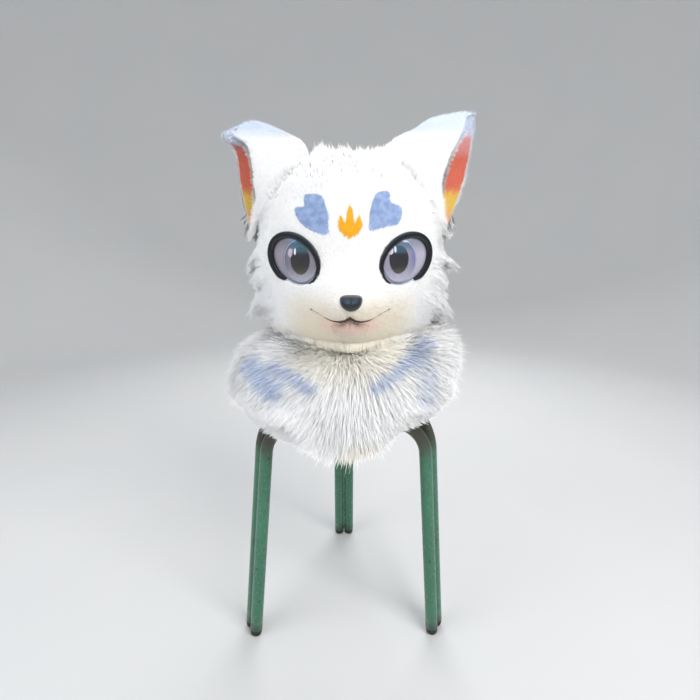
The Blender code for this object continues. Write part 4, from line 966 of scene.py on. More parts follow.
for side, label in ((-1, "left"), (1, "right")):
    light = (-0.0042, 0.0116) if side < 0 else (0.0262, 0.0158)
    glint = (0.0040, 0.0136) if side < 0 else (0.0190, 0.0172)
    light_tone = (0.38, 0.33, 0.43) if side < 0 else (0.52, 0.50, 0.62)

    rim, shader, place = new_finish("gloss_black_rim_" + label)
    pale = place.note("spot").axis("Z").rise(0.20, 0.05)
    wear = place.noise(0.002, 3.0).rise(0.62, 0.75) * 0.03
    coat(shader, Base_Color=pale.tint((0.006, 0.007, 0.009), (0.42, 0.47, 0.56)), Roughness=0.16 + wear,
         Specular_IOR_Level=0.25, Coat_Weight=0.6, Coat_Roughness=0.06)
    degrees, *columns = zip(*RIM_EDGES)
    inner, outer, band = [np.interp(np.degrees(RIM_ROUND), degrees, column) for column in columns]
    rings, spots = [], []
    for angle in all_round(20):
        turned = math.cos(angle)
        push = 0.5 - 0.5 * math.copysign(abs(turned) ** 0.75, turned)
        width = inner + (outer - inner) * push - eye_trim(RIM_ROUND)
        u, v = upright((EYE_LONG + width) * np.cos(RIM_ROUND), (EYE_SHORT + width) * np.sin(RIM_ROUND))
        bent = math.copysign(abs(math.sin(angle)) ** 0.6, math.sin(angle))
        height = 0.0012 + (0.0018 + 0.0034 * band) * bent if bent > 0 else 0.0012 + 0.0078 * bent
        rings.append(eye_point(side, u, v, height))
        spots.append(vectors(u, v, band))
    seat(lofted("eye_rim_" + label + "_ring", rings, rim, spot=np.concatenate(spots)),
         "eye_rim", "eye_rim_" + label)

    sclera, shader, place = new_finish("eye_white_print_and_painted_shade_" + label)
    u, v, share = [place.note("spot").axis(name) for name in "XYZ"]
    shade = (share.rise(0.80, 0.98) * 0.5 + v.rise(0.008, 0.030) * 0.7).held()
    # The left eye's colours, here, in the iris and in the highlights, are darker than the right's: painted
    # shade on that side.
    low = (0.25, 0.225, 0.265) if side < 0 else (0.38, 0.365, 0.45)
    high = (0.10, 0.10, 0.13) if side < 0 else (0.14, 0.15, 0.20)
    coat(shader, Base_Color=(shade + place.noise(0.005, 3.0) * 0.2).held().tint(low, high), Roughness=0.30,
         Coat_Weight=1.0, Coat_Roughness=0.05)
    socket = upright(*oval(EYE_LONG - SOCKET_PLAY - eye_trim(EYE_ROUND),
                           EYE_SHORT - SOCKET_PLAY - eye_trim(EYE_ROUND)))
    seat(disc("eye_white_" + label + "_dome", side, (0.0, 0.0), socket, 0.0, EYE_DEPTH * 0.6, sclera),
         "eye_white", "eye_white_" + label)

    iris, shader, place = new_finish("iris_print_and_painted_light_" + label)
    u, v, share = [place.note("spot").axis(name) for name in "XYZ"]
    # Darker tones for the left eye: painted shade on that side.
    if side < 0:
        tones = ((0.31, 0.31, 0.39), (0.175, 0.160, 0.195), (0.105, 0.105, 0.150), (0.030, 0.075, 0.115))
    else:
        tones = ((0.37, 0.36, 0.46), (0.25, 0.235, 0.32), (0.14, 0.135, 0.30), (0.040, 0.085, 0.145))
    base = (v + place.noise(0.012) * 0.012).rise(-0.026, 0.000).tint(tones[0], tones[1])
    outer = (u.rise(0.002, -0.016) * v.rise(-0.030, 0.006)).tint(base, tones[2])
    # Painted reflection: teal across the top of the iris.
    teal_reflection = (v.rise(0.010, 0.024) * (1.0 if side < 0 else 0.8)).tint(outer, tones[3])
    streaks = place.noise(0.0022, 3.0, (1.0, 1.0, 0.4)).rise(0.45, 0.75) * 0.25
    streaked = streaks.tint(teal_reflection, (0.10, 0.10, 0.15))
    outline = (share.rise(0.935, 0.955) * share.rise(1.0, 0.975) * 0.8).tint(streaked, (0.36, 0.43, 0.58))
    # Painted highlights: a pale glare at the top of the right iris, a pale oval and a small spark.
    glare = oval_mask(u, v, (0.0, 0.0300), (0.0085, 0.0032)) * (0.8 if side > 0 else 0.0)
    lit = oval_mask(u, v, light, LIGHT_HALF).either(glare).tint(outline, light_tone)
    spark = oval_mask(u, v, glint, GLINT_HALF).tint(lit, GLINT_TONE)
    coat(shader, Base_Color=spark, Roughness=0.28, Coat_Weight=1.0, Coat_Roughness=0.04)
    seat(disc("iris_" + label + "_print_and_painted_light", side, IRIS_SHIFT, oval(*IRIS_HALF), 0.0010, 0.0009, iris),
         "iris", "iris_" + label)

    pupil, shader, place = new_finish("pupil_print_and_painted_light_" + label)
    u, v = [place.note("spot").axis(name) for name in "XY"]
    low = v.rise(-0.004, -0.019).tint((0.010, 0.009, 0.012), (0.042, 0.036, 0.022))
    mottled = (place.noise(0.004) * 0.3).tint(low, (0.018, 0.019, 0.026))
    # Painted reflection: teal across the top of the pupil.
    teal_reflection = (v.rise(0.008, 0.016) * 0.9).tint(mottled, (0.022, 0.070, 0.105))
    # Painted highlights on the pupil: a pale oval and a small spark.
    lit = oval_mask(u, v, light, LIGHT_HALF).tint(teal_reflection, light_tone)
    spark = oval_mask(u, v, glint, GLINT_HALF).tint(lit, GLINT_TONE)
    coat(shader, Base_Color=spark, Roughness=0.22, Coat_Weight=1.0, Coat_Roughness=0.04)
    seat(disc("pupil_" + label + "_print_and_painted_light", side, PUPIL_SHIFTS[label], oval(*PUPIL_HALF), 0.0019, 0.0008, pupil),
         "pupil", "pupil_" + label)


# Nose. A black cast resin nose, broad above and narrow below, with two shallow nostrils. Its back is let
# into the snout's foam and glued there.
NOSE_PROUD = 0.010
black, shader, place = new_finish("cast_black_nose")
pits = place.noise(0.0012, 3.0)
coat(shader, Base_Color=pits.tint((0.006, 0.007, 0.009), (0.016, 0.017, 0.021)),
     Roughness=0.24 + place.noise(0.006) * 0.14, Coat_Weight=0.5, Coat_Roughness=0.10,
     Normal=place.grain(pits, 0.00025))


def face_y(x, z):
    """The front of the foam head, at a width from its middle and a height."""
    rows = np.array(HEAD_SECTIONS)
    level = np.interp(z, rows[:, 0], np.arange(len(rows)))
    _, half, front, _, muzzle = np.moveaxis(between_rows(HEAD_SECTIONS, level), -1, 0)
    flat = np.clip(1 - np.abs(x / half) ** ROUNDNESS, 0, 1) ** (1 / ROUNDNESS)
    return HEAD_Y - front * flat - muzzle * np.exp(-(x / MUZZLE_HALF_WIDTH) ** 2)


angles = all_round(48)
rings = []
for share in np.concatenate([[1.0], np.linspace(1.0, 0.06, 14)]):
    cos, sin = np.cos(angles), np.sin(angles)
    power = np.where(sin > 0, 2 / 2.8, 1.0)
    tall = np.where(sin > 0, NOSE_HALF_HEIGHT - NOSE_WIDEST, NOSE_HALF_HEIGHT + NOSE_WIDEST)
    x = np.sign(cos) * np.abs(cos) ** power * NOSE_HALF_WIDTH * share
    z = NOSE_WIDEST + np.sign(sin) * np.abs(sin) ** power * tall * share
    nostril = 0.0009 * np.exp(-((np.abs(x) - 0.0075) / 0.0028) ** 2 - ((z + 0.003) / 0.0026) ** 2)
    proud = NOSE_PROUD * max(1 - share ** 2.6, 0.0) ** 0.5 + 0.0015 if rings else -0.012
    rings.append(vectors(NOSE_X + x, face_y(x, NOSE_Z + z) - proud + (nostril if rings else 0), NOSE_Z + z))
seat(lofted("nose_casting", rings, black, (NOSE_X, face_y(0.0, NOSE_Z) + 0.012, NOSE_Z),
            (NOSE_X, face_y(0.0, NOSE_Z) - NOSE_PROUD - 0.0015, NOSE_Z)), "nose", "nose")


# Mouth. Dark felt is glued behind the opening and along the crease that runs across the snout. The lower
# lip is a foam pad with short pink pile, and longer white fur hangs from the jaw under it.
LIP_TOP_DROP, LIP_PROUD, LIP_COUNT, LIP_HAIR = 0.0042, 0.0015, 13000, 0.0036
CHIN_COUNT, CHIN_HAIR = 8000, 0.018


def slab(front, thick):
    """The points and faces of a closed slab behind a grid of points on its front."""
    order = np.arange(front.shape[0] * front.shape[1]).reshape(front.shape[:2])
    quads = np.stack([order[:-1, :-1], order[1:, :-1], order[1:, 1:], order[:-1, 1:]], -1).reshape(-1, 4)
    edge = np.concatenate([order[0, :-1], order[:-1, -1], order[-1, :0:-1], order[:0:-1, 0]])
    after = np.roll(edge, -1)
    sides = np.stack([edge, after, after + order.size, edge + order.size], -1)
    points = np.concatenate([front.reshape(-1, 3), (front + (0.0, thick, 0.0)).reshape(-1, 3)])
    return points, np.concatenate([quads, quads[:, ::-1] + order.size, sides])


felt, shader, place = new_finish("dark_mouth_felt")
fuzz = place.noise(0.0008, 3.0)
coat(shader, Base_Color=fuzz.tint((0.026, 0.014, 0.012), (0.075, 0.042, 0.034)), Roughness=0.95,
     Normal=place.grain(fuzz, 0.0004))
wide, deep = np.meshgrid(np.linspace(-1, 1, 49), np.linspace(0, 1, 15))
x = wide * (MOUTH_HALF_WIDTH - 0.0006)
upper, lower = mouth_edges(x)
z = upper + (lower - upper) * deep
bowl = 0.010 * np.clip(np.sin(math.pi * np.clip(deep, 0.0, 1.0)) * (1 - wide ** 2) * 2.2, 0, 1)
seat(new_mesh("mouth_lining_felt", *slab(vectors(HEAD_X + x, face_y(x, z) + 0.0006 + bowl, z), 0.0016), felt),
     "mouth", "mouth_lining")

line = np.linspace(-CREASE[-1][0], CREASE[-1][0], 121)
height = np.interp(np.abs(line), *zip(*CREASE))
far = np.abs(line) / CREASE[-1][0]
taper = 0.00045 + 0.0016 * np.clip(1 - far * 1.6, 0, 1) + 0.0007 * np.exp(-((far - 0.97) / 0.03) ** 2)
rings = []
for angle in all_round(8):
    at = height + np.cos(angle) * taper
    depth = face_y(line, at) - 0.0036 - 0.0018 * (1 - far) + np.sin(angle) * taper
    rings.append(vectors(HEAD_X + line, depth, at))
seat(lofted("mouth_crease", np.swapaxes(rings, 0, 1), felt, rings[0][0] + (-0.0004, 0, 0),
            rings[0][-1] + (0.0004, 0, 0)), "mouth", "mouth_lining")


def lip_paint(root, along, mark):
    """The face's own colours, with painted shadow under the opening, and dark along the lip's middle."""
    z, x = root.axis("Z"), root.axis("X") - HEAD_X
    seam = (x * x).rise(0.000003, 0.0000003) * z.rise(0.586, 0.597) * 0.5
    return mark.either(seam).tint(face_paint(root, along, mark), (0.10, 0.055, 0.040))


lip_finish = fur_finish("pink_lip_pile", lip_paint, deep=0.88)
wide, deep = np.meshgrid(np.linspace(-1, 1, 49), np.linspace(0, 1, 21))
x = wide * (MOUTH_HALF_WIDTH - 0.0010)
upper, lower = mouth_edges(x)
top = upper - LIP_TOP_DROP * np.exp(-(x / 0.011) ** 2) - 0.0004
z = top + (lower - top) * deep
puff = (LIP_PROUD + 0.0012) * np.sqrt(np.clip(np.sin(math.pi * deep) * (1 - wide ** 2), 0, 1))
puff = puff - 0.0006 * np.exp(-(x / 0.0016) ** 2) * np.sin(math.pi * deep)
# Painted shadow that the upper lip casts, darkest just under the opening.
lip_shadow = 0.95 * np.exp(-(np.clip(upper - 0.002 - z, 0, 1) / 0.0036) ** 1.5) * np.exp(-(x / 0.0150) ** 2)
lip = vectors(HEAD_X + x, face_y(x, z) + 0.0012 - puff, z)
lip_points, faces = slab(lip, 0.004)
pad = seat(new_mesh("lower_lip_pad", lip_points, faces, lip_finish, root=lip_points,
                    along=np.full(len(lip_points), 0.9), mark=np.tile(lip_shadow.ravel(), 2)), "lip", "lower_lip")
rng = np.random.default_rng(51)
pick = rng.integers(0, x.size, LIP_COUNT)
roots = lip.reshape(-1, 3)[pick] + rng.normal(0, 0.0008, (LIP_COUNT, 3)) * (1, 0.1, 1)
out, comb = [np.tile(direction, (LIP_COUNT, 1)) for direction in ((0.0, -1.0, 0.0), (0.0, 0.1, -1.0))]
seat(fur("lower_lip_pile", roots, out, comb, LIP_HAIR, 0.0008, lip_finish, rng, stand=0.4, droop=0.5,
         stray=0.2, steps=1, mark=lip_shadow.ravel()[pick],
         clear=lambda tips: ~in_mouth(tips, 0.0002, 0.004)), "lip", "lower_lip")


def chin_paint(root, along, mark):
    """Cream under the middle of the jaw, partly the fur's colour and partly painted shade, and white beside it.
    """
    x = root.axis("X") - HEAD_X
    # cream under the jaw: partly the fur's colour, partly painted shade
    return ((x * x).rise(0.0090, 0.0015) * 0.8).tint(WHITE, (0.88, 0.82, 0.67))


chin_finish = fur_finish("chin_fur", chin_paint, deep=0.88)
roots, out, turn, level, rng = scattered(head_form, (-1.25, 1.25), (1.6, 3.3), CHIN_COUNT, 52)
comb = unit(np.array((0.0, -0.35, -0.9)) + wander(roots, 0.016, 53) * 0.3)
seat(fur("face_fur_under_chin", roots, out, comb, CHIN_HAIR, 0.0010, chin_finish, rng, stand=0.35, droop=0.5,
         sag=0.2, stray=0.12, locks=900, pull=0.3, facing=np.array((0.0, -2.5, 0.6)),
         clear=lambda tips: in_mouth(tips, 0.0)), "white_fur", "face_fur")


# Forehead marks. Two notched brow patches in dusty blue fur and a three-petal ornament in gold fur,
# cut out and glued into the white fur, so their edges are fuzzy.
MARK_LEVELS, MARK_HAIR = (9.8, 14.2), 0.0056


def blue_paint(root, along, mark):
    tone = root.noise(0.008)
    return tone.rise(0.3, 0.7).tint((0.25, 0.35, 0.58), (0.38, 0.49, 0.73))


def gold_paint(root, along, mark):
    tone = root.noise(0.006)
    return tone.tint((0.86, 0.40, 0.010), (0.92, 0.52, 0.035))


blue_finish = fur_finish("dusty_blue_pile", blue_paint)
gold_finish = fur_finish("gold_pile", gold_paint)
mark_parts = (
    ("brow_patch_left", "blue_fur", (-0.95, -0.08), lambda points: in_brow(points, -1), blue_finish, 45000, 61),
    ("brow_patch_right", "blue_fur", (0.08, 0.95), lambda points: in_brow(points, 1), blue_finish, 45000, 62),
    ("forehead_mark", "gold_fur", (-0.25, 0.25), in_flame, gold_finish, 27000, 63),
)
for node, slot, turns, inside, finish, count, seed in mark_parts:
    keep = lambda points: inside(points) & ~in_eyes(points, 0.001)
    seat(backing(node + "_backing", head_form, turns, MARK_LEVELS, (64, 56), 0.0016, finish, keep, 0.0006),
         slot, node)
    roots, out, turn, level, rng = scattered(head_form, turns, MARK_LEVELS, count, seed, keep)
    comb = on_skin(roots - SNOUT_TIP, out)
    seat(fur(node + "_pile", roots + out * 0.0018, out, comb, MARK_HAIR, 0.0011, finish, rng, stand=0.42,
             droop=0.5, stray=0.16, steps=1, clear=lambda tips: in_eyes(tips, -0.001)), slot, node)


# Bib. A knitted cape that hangs from the neck over the seat, with long white fur brushed outward and
# down, longest on the left, and pale blue strokes airbrushed into it.
BIB_SECTIONS = (              # height, half width, depth in front and behind
    (0.5440, 0.1018, 0.0958, 0.1158),
    (0.5400, 0.1300, 0.1230, 0.1360),
    (0.5260, 0.1560, 0.1440, 0.1510),
    (0.4980, 0.1700, 0.1570, 0.1600),
    (0.4640, 0.1700, 0.1610, 0.1620),
    (0.4330, 0.1600, 0.1590, 0.1590),
)
BIB_CLOTH, BIB_X, BIB_TILT, BIB_FRONT_DIP = 0.003, -0.008, 0.090, 0.020
BIB_MARKS = (                 # strength, half width, and places as they are seen from the airbrush
    (1.0, 0.025, ((-0.206, -0.282), (-0.183, -0.31), (-0.164, -0.331))),
    (1.0, 0.014, ((-0.164, -0.282), (-0.121, -0.303), (-0.082, -0.328))),
    (1.0, 0.015, ((0.057, -0.326), (0.094, -0.294), (0.126, -0.262))),
    (0.9, 0.021, ((0.135, -0.26), (0.156, -0.237))),
    (0.45, 0.021, ((0.153, -0.273), (0.165, -0.319), (0.162, -0.356))),
)
AIRBRUSH = np.array((HEAD_X, HEAD_Y - 0.83, 0.72))
STROKE_FRAY, STROKE_EDGE = 0.0028, 0.010


def bib_form(turn, level):
    """The bib's cloth: turn goes round from the middle of the front, level counts down from the neck."""
    turn, level = np.broadcast_arrays(np.asarray(turn, float), np.asarray(level, float))
    z, half_width, front, back = np.moveaxis(between_rows(BIB_SECTIONS, level), -1, 0)
    x, y = oval_section(turn, half_width, front, back)
    share = np.clip(level / 5, 0, 1)
    wave = 0.0035 * share ** 2 * np.sin(9 * turn + 0.8 * np.sin(3 * turn))
    reach = np.maximum(np.hypot(x, y), 1e-6)
    x, y = x * (1 + wave / reach), y * (1 + wave / reach)
    z = z + share * (BIB_TILT * x - BIB_FRONT_DIP * np.clip(np.cos(turn), 0, None) ** 2)
    return np.stack([x + HEAD_X + BIB_X * share, y + HEAD_Y, z], axis=-1)


cloth_finish, shader, place = new_finish("knitted_backing")
knit = place.node("ShaderNodeTexWave", {"wave_type": "BANDS", "bands_direction": "Z"},
                  {"Vector": place, "Scale": 140.0, "Distortion": 1.5, "Detail": 1.0}, output=1)
coat(shader, Base_Color=(knit * 0.6 + place.noise(0.02) * 0.4).tint((0.50, 0.48, 0.46), (0.78, 0.76, 0.73)),
     Roughness=0.95, Normal=place.grain(knit, 0.0003))
turn = all_round(144)
levels = np.concatenate([np.linspace(0, 5, 25), np.linspace(5, 0, 25)])
rings = []
for index, level in enumerate(levels):
    ring = bib_form(turn, level)
    if index > 24:
        away = outward(bib_form, turn, np.full_like(turn, level))
        ring = ring - turned_away(away, ring, (HEAD_X, HEAD_Y, 0.40)) * BIB_CLOTH
    rings.append(ring)
cloth = seat(lofted("bib_cloth_knit", rings, cloth_finish), "cloth", "bib_cloth")


def bib_paint(root, along, mark):
    """White, with painted shade in cream under the chin, cream low in the middle, and blue where the airbrush
    marked it.
    """
    x, z = root.axis("X") - HEAD_X, root.axis("Z")
    white = (root.noise(0.018) * 0.7).tint(WHITE, SHADED_WHITE)
    front = root.axis("Y").rise(-0.06, -0.11)
    # Painted shade: cream under the chin, where the head shades the bib.
    chin = z.rise(0.500, 0.540) * (x * x).rise(0.0080, 0.0020) * front * 0.6
    part = abs(x - 0.012).rise(0.030, 0.008) * z.rise(0.455, 0.430) * front * 0.45
    cream_and_shade = chin.either(part).tint(white, (0.88, 0.83, 0.67))
    streak = root.noise(0.0035, 3.0, (1.0, 1.0, 0.25))
    blue = streak.rise(0.38, 0.62).tint((0.33, 0.40, 0.60), (0.54, 0.66, 0.90))
    return (mark * (0.50 + along * 0.35)).tint(cream_and_shade, blue)


bib_finish = fur_finish("long_bib_fur", bib_paint, deep=0.94)


def bib_marks(points, rng):
    """How blue the fur is at each place: the strokes of an airbrush in front of it, with frayed edges."""
    arm = points - AIRBRUSH
    seen = arm[:, [0, 2]] / arm[:, 1:2]
    mark = np.zeros(len(points))
    fray = rng.normal(0, STROKE_FRAY, len(points))
    for strength, half_width, stroke in BIB_MARKS:
        for start, end in zip(np.array(stroke), np.array(stroke[1:])):
            along = end - start
            share = np.clip((seen - start) @ along / (along @ along), 0, 1)
            far = np.linalg.norm(seen - start - share[:, None] * along, axis=1) + fray
            mark = np.maximum(mark, strength * np.clip((half_width - far) / STROKE_EDGE + 0.4, 0, 1))
    return np.where(points[:, 1] < HEAD_Y, mark, 0.0)


bib_parts = (
    ("front", (-0.80, 0.80), 40000, 71),
    ("left", (-2.30, -0.80), 22000, 72),
    ("right", (0.80, 2.30), 22000, 73),
    ("back", (2.30, 2 * math.pi - 2.30), 13000, 74),
)
for part, turns, count, seed in bib_parts:
    roots, out, turn, level, rng = scattered(bib_form, turns, (0.0, 5.0), count, seed)
    arm = roots - (HEAD_X, HEAD_Y, 0.44)
    out = turned_away(out, roots, (HEAD_X, HEAD_Y, 0.44))
    x = roots[:, 0] - HEAD_X
    spread = np.clip(x / 0.05, -1, 1)
    radial = unit(arm * (1, 1, 0))
    share = np.clip(level / 5, 0, 1)
    comb = vectors(spread * np.clip(level / 2.4, 0, 1) * (0.45 + 0.35 * share), 0.0, -1.0)
    comb = unit(on_skin(comb, out) + out * 0.15 + wander(roots, 0.018, 75) * 0.22)
    rising = np.clip(1 - level / 2.6, 0, 1)[:, None]
    low = np.clip((level - 3.2) / 1.1, 0, 1) * np.clip((np.abs(turn) - 0.06) / 0.36, 0, 1)
    comb = unit(comb + rising * radial * 1.6 + low[:, None] * (radial * 1.1 + (0.0, 0.0, 0.45)))
    length = (0.030 + 0.014 * np.clip(level / 2.2, 0, 1)) * (1 - 0.60 * low)
    length = length * np.where(rng.random(len(roots)) < 0.07, 1.30, 1.0)
    leftward = np.exp(-((turn + 1.45) / 0.35) ** 2) * np.exp(-((level - 2.9) / 0.9) ** 2)
    rightward = np.exp(-((turn - 1.45) / 0.40) ** 2) * np.exp(-((level - 1.2) / 0.9) ** 2)
    length = length + 0.016 * leftward + 0.012 * rightward
    stand = 0.38 + 0.14 * leftward + 0.12 * rightward - 0.06 * share + 0.14 * rising[:, 0]
    tufted = 0.22 + 0.40 * np.clip((np.abs(turn) - 0.55) / 0.45, 0, 1)
    middle = roots + unit(out * stand[:, None] + comb * (1 - stand[:, None])) * length[:, None] * 0.6
    facing = (1.4 + rising * 2.0) * radial + (0.0, 0.0, 0.4)
    seat(fur("bib_fur_" + part, roots + out * 0.0005, out, comb, length, 0.0011, bib_finish, rng,
                           stand=stand, droop=0.55, sag=0.30 * (1 - low[:, None]), stray=0.07,
                           locks=count // 7, pull=tufted, facing=facing, mark=bib_marks(middle, rng)),
                       "bib_fur", "bib_fur")


# Stool. Three steel tubes bent to upturned Us, enamelled green, worn and chipped at the legs, carry a
# round seat. Rubber plugs close the tubes' ends.
STOOL_X, STOOL_Y = -0.0025, -0.0072
TUBE_RADIUS, TUBE_BEND, TUBE_GAP = 0.011, 0.060, 0.0003
SEAT_RADIUS, SEAT_THICK, SEAT_TOP, SEAT_EDGE = 0.150, 0.022, 0.4450, 0.004
FOOT_HEIGHT, FOOT_FLAT = 0.012, 0.0060
# the plug's radii, by their share of its height
FOOT_PROFILE = ((0.06, 0.0078), (0.18, 0.0092), (0.40, 0.0101), (0.90, 0.0107), (0.97, 0.0107))
# each leg's direction in degrees, and how far out its foot and its top lie
LEGS = {"left": (210, 0.198, 0.156), "right": (330, 0.191, 0.160), "back": (92, 0.196, 0.158)}
TUBES = {"front": ("left", "right"), "right": ("right", "back"), "left": ("back", "left")}


def enamel(name, dark, light):
    """Green gloss enamel with rubbed places, rust and chips, painted shade up under the seat and the bib, and
    darker near the floor.
    """
    made, shader, place = new_finish(name)
    z = place.axis("Z")
    flow = place.noise(0.05, 3.0, (1.0, 1.0, 0.3))
    paint = flow.tint(dark, light)
    rubbed = place.noise(0.005, 4.0, (1.0, 1.0, 0.6)).rise(0.50, 0.75) * 0.14
    worn = rubbed.tint(paint, (0.10, 0.30, 0.20))
    # Painted shade: brown-dark from 0.335 m up, under the seat and the bib; darker towards the floor too.
    seat_shade_and_low_dark = (z.rise(0.335, 0.385) * 0.9).either(z.rise(0.05, 0.0) * 0.4)
    shaded_and_low_dark = seat_shade_and_low_dark.tint(worn, (0.045, 0.036, 0.024))
    chips = place.noise(0.0055, 5.0).rise(0.665, 0.690)
    rust = place.noise(0.0055, 5.0).rise(0.640, 0.670)
    edged = (rust * 0.7).tint(shaded_and_low_dark, (0.10, 0.045, 0.025))
    specks = place.noise(0.0013).rise(0.66, 0.72) * 0.55
    done = specks.either(chips).tint(edged, (0.022, 0.018, 0.016))
    height = place.noise(0.004) * 0.25 - chips * 0.8
    coat(shader, Base_Color=done, Roughness=0.24 + rubbed * 0.5 + chips * 0.35 + seat_shade_and_low_dark * 0.25,
         Coat_Weight=0.35 - chips * 0.3, Coat_Roughness=0.12, Normal=place.grain(height, 0.0003))
    return made


def leg_line(name, offset):
    """The foot's and the top's middle of one tube of a leg, offset sideways from the leg's middle."""
    degrees, foot_radius, top_radius = LEGS[name]
    angle = math.radians(degrees)
    outwards = np.array((math.cos(angle), math.sin(angle), 0.0))
    middle = np.array((STOOL_X, STOOL_Y, 0.0)) + np.array((-math.sin(angle), math.cos(angle), 0.0)) * offset
    foot = middle + outwards * foot_radius
    top = middle + outwards * top_radius
    top[2] = SEAT_TOP - SEAT_THICK - TUBE_GAP - TUBE_RADIUS
    return foot, top


def rounded_route(corners, radius):
    """A route through corners whose inner ones are rounded with an arc, in short steps."""
    route = []
    last = corners[0]
    for before, corner, after in zip(corners, corners[1:], corners[2:]):
        back, ahead = unit(before - corner), unit(after - corner)
        half = math.acos(float(back @ ahead)) / 2
        reach = radius / math.tan(half)
        centre = corner + unit(back + ahead) * radius / math.sin(half)
        start, end = corner + back * reach - centre, corner + ahead * reach - centre
        sweep = math.pi - 2 * half
        route += [last + (start + centre - last) * share for share in np.linspace(0, 1, 14)[:-1]]
        for share in np.linspace(0, 1, 19):
            arm = (start * math.sin((1 - share) * sweep) + end * math.sin(share * sweep)) / math.sin(sweep)
            route.append(centre + arm)
        last = route.pop()
    route += [last + (corners[-1] - last) * share for share in np.linspace(0, 1, 14)]
    return np.array(route)


def swept(route, radius):
    """Rings of a tube along a route."""
    along = unit(np.gradient(route, axis=0))
    side = unit(np.cross(along[0], (0.31, 0.83, 0.12)))
    rings = []
    angle = all_round(32)
    for place, ahead in zip(route, along):
        side = unit(side - ahead * (side @ ahead))
        up = np.cross(ahead, side)
        rings.append(place + (np.outer(np.cos(angle), side) + np.outer(np.sin(angle), up)) * radius)
    return np.array(rings)


paint = enamel("worn_green_enamel", (0.012, 0.085, 0.046), (0.040, 0.178, 0.102))
rubber, shader, place = new_finish("dull_black_rubber")
scuff = place.noise(0.003, 4.0)
coat(shader, Base_Color=scuff.rise(0.4, 0.8).tint((0.016, 0.015, 0.014), (0.060, 0.055, 0.050)),
     Roughness=0.55 + scuff * 0.3, Normal=place.grain(scuff, 0.0003))
for label, (start, end) in TUBES.items():
    offset = TUBE_RADIUS + TUBE_GAP / 2
    start_foot, start_top = leg_line(start, offset)
    end_foot, end_top = leg_line(end, -offset)
    ends = []
    for name, low, high in ((start, start_foot, start_top), (end, end_foot, end_top)):
        direction = unit(high - low)
        seat_at = low + direction * (FOOT_HEIGHT / direction[2])
        ends.append(seat_at)
        first = unit(np.cross(direction, (0.0, 1.0, 0.0)))
        second = np.cross(direction, first)
        angle = all_round(32)
        arms = np.outer(np.cos(angle), first) + np.outer(np.sin(angle), second)
        base = low + arms * (1, 1, 0) * FOOT_FLAT
        rings = [base * (1, 1, 0)]
        for share, radius in FOOT_PROFILE:
            rings.append(low + (seat_at - low) * share + arms * radius)
        foot = "foot_" + name + "_" + label
        seat(lofted(foot + "_plug", rings, rubber, low, low + (seat_at - low) * 0.97), "rubber", foot)
    route = rounded_route([ends[0], start_top, end_top, ends[1]], TUBE_BEND)
    seat(lofted("tube_" + label + "_bend", swept(route, TUBE_RADIUS), paint, route[0], route[-1]),
         "paint", "tube_" + label)

board = enamel("worn_seat_enamel", (0.030, 0.130, 0.080), (0.055, 0.210, 0.130))
angle, bend = all_round(96), np.linspace(0, math.pi / 2, 6)
flat, under = SEAT_RADIUS - SEAT_EDGE, SEAT_TOP - SEAT_THICK
profile = [(SEAT_RADIUS * share, under) for share in (0.3, 0.6, 0.9)]
profile += [(flat + SEAT_EDGE * math.sin(arc), under + SEAT_EDGE * (1 - math.cos(arc))) for arc in bend]
profile += [(flat + SEAT_EDGE * math.cos(arc), SEAT_TOP - SEAT_EDGE + SEAT_EDGE * math.sin(arc))
            for arc in bend]
profile += [(SEAT_RADIUS * share, SEAT_TOP) for share in (0.9, 0.6, 0.3)]
rings = [vectors(STOOL_X + radius * np.cos(angle), STOOL_Y + radius * np.sin(angle), z)
         for radius, z in profile]
seat(lofted("seat_board", rings, board, (STOOL_X, STOOL_Y, under), (STOOL_X, STOOL_Y, SEAT_TOP)),
     "seat", "seat")


# Stage, light and camera. A pale floor of paper that curves up all round, lit by soft lamps from both
# sides and behind and by blue panes that only glossy surfaces show. The camera has the photograph's view.
FLOOR_FLAT, FLOOR_RISE, FLOOR_STEPS = 2.2, 1.2, 14
CAMERA_BACK, CAMERA_Z, CAMERA_PITCH = 0.831, 0.726, 0.25
SENSOR_WIDTH = 36.0
CAMERA_LENS = SENSOR_WIDTH * 475 / 700     # the photograph is 700 pixels wide, and its focal length is 475


def lamp(name, place, aim, size, power, colour=(1.0, 1.0, 1.0)):
    """A soft lamp that the camera doesn't see, aimed at a place."""
    data = bpy.data.lights.new(name, "AREA")
    data.shape = "RECTANGLE"
    data.size, data.size_y = size
    data.energy = power
    data.color = colour
    made = bpy.data.objects.new(name, data)
    bpy.context.scene.collection.objects.link(made)
    made.location = place
    arm = np.array(aim) - np.array(place)
    tilt, heading = math.acos(-arm[2] / np.linalg.norm(arm)), math.atan2(arm[1], arm[0])
    made.rotation_euler = (tilt, 0.0, heading - math.pi / 2)
    made.visible_camera = False
    return made


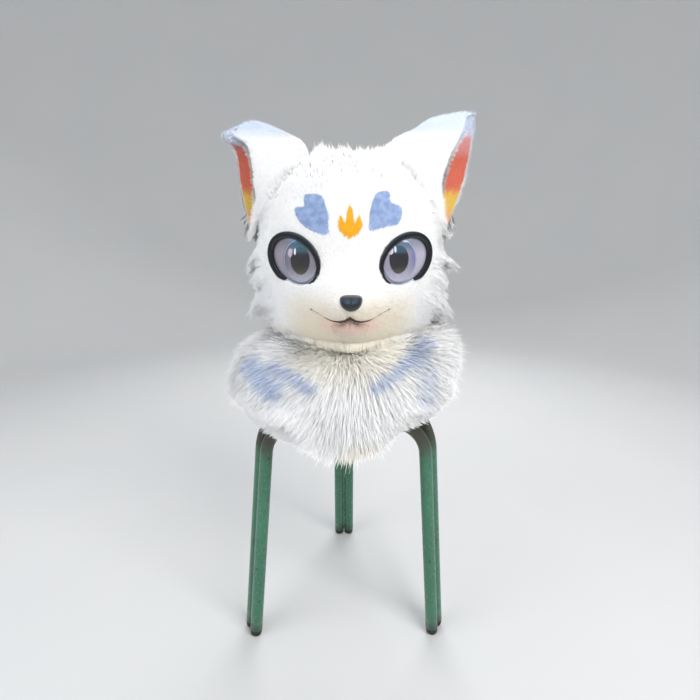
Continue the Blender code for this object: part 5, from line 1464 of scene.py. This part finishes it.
bend = np.linspace(0.1, 1.5, FLOOR_STEPS)
radii = np.concatenate([np.linspace(0.0, FLOOR_FLAT, 12), FLOOR_FLAT + FLOOR_RISE * np.sin(bend)])
rises = FLOOR_RISE * (1 - np.cos(bend)) + np.linspace(0, FLOOR_RISE, FLOOR_STEPS) ** 3
rises = np.concatenate([np.zeros(12), rises])
around = all_round(96)
floor_points = np.stack([np.outer(radii, np.cos(around)), np.outer(radii, np.sin(around)),
                         np.outer(rises, np.ones_like(around))], -1).reshape(-1, 3)
index = np.arange(len(floor_points)).reshape(len(radii), len(around))
after = np.roll(index, -1, axis=1)
floor_faces = np.stack([index[:-1], index[1:], after[1:], after[:-1]], -1).reshape(-1, 4)
paper, shader, place = new_finish("pale_paper")
coat(shader, Base_Color=place.noise(0.4).tint((0.53, 0.54, 0.55), (0.56, 0.565, 0.57)), Roughness=0.9,
     Specular_IOR_Level=0.1)
new_mesh("floor", floor_points, floor_faces, paper)

for name, place, size, power, colour in (("key", (1.1, -1.5, 1.9), 1.4, 52.0, (1.0, 0.985, 0.96)),
                                         ("fill", (-1.6, -1.1, 1.2), 1.6, 22.0, (0.97, 0.98, 1.0))):
    lamp(name, place, (0.0, 0.0, 0.62), (size, size), power, colour).visible_glossy = False
for row, (y, z) in enumerate(((-0.85, 1.45), (-0.85, 1.75), (-0.60, 1.95), (-0.25, 1.95))):
    for column in range(4):
        x = -1.35 + 0.9 * column + 0.12 * (row % 2)
        pane = lamp("pane_" + str(row) + "_" + str(column), (x, y, z), (x * 0.1, -0.12, 0.68),
                    (0.62, 0.12), 1.1, (0.16, 0.52, 0.80))
        pane.visible_diffuse = False
lamp("back", (0.3, 1.7, 1.8), (0.0, 0.0, 0.7), (1.6, 1.0), 34.0)
world = bpy.data.worlds.new("soft sky")
world.use_nodes = True
world.node_tree.nodes["Background"].inputs["Color"].default_value = (0.96, 0.98, 1.0, 1.0)
world.node_tree.nodes["Background"].inputs["Strength"].default_value = 0.66
bpy.context.scene.world = world
bpy.context.scene.view_settings.view_transform = "Standard"

camera_data = bpy.data.cameras.new("camera")
camera_data.sensor_fit = "HORIZONTAL"
camera_data.sensor_width = SENSOR_WIDTH
camera_data.lens = CAMERA_LENS
camera_data.clip_start = 0.01
camera = bpy.data.objects.new("camera", camera_data)
bpy.context.scene.collection.objects.link(camera)
camera.location = (HEAD_X, HEAD_Y - CAMERA_BACK, CAMERA_Z)
camera.rotation_euler = (math.pi / 2 - CAMERA_PITCH, 0.0, 0.0)
bpy.context.scene.camera = camera
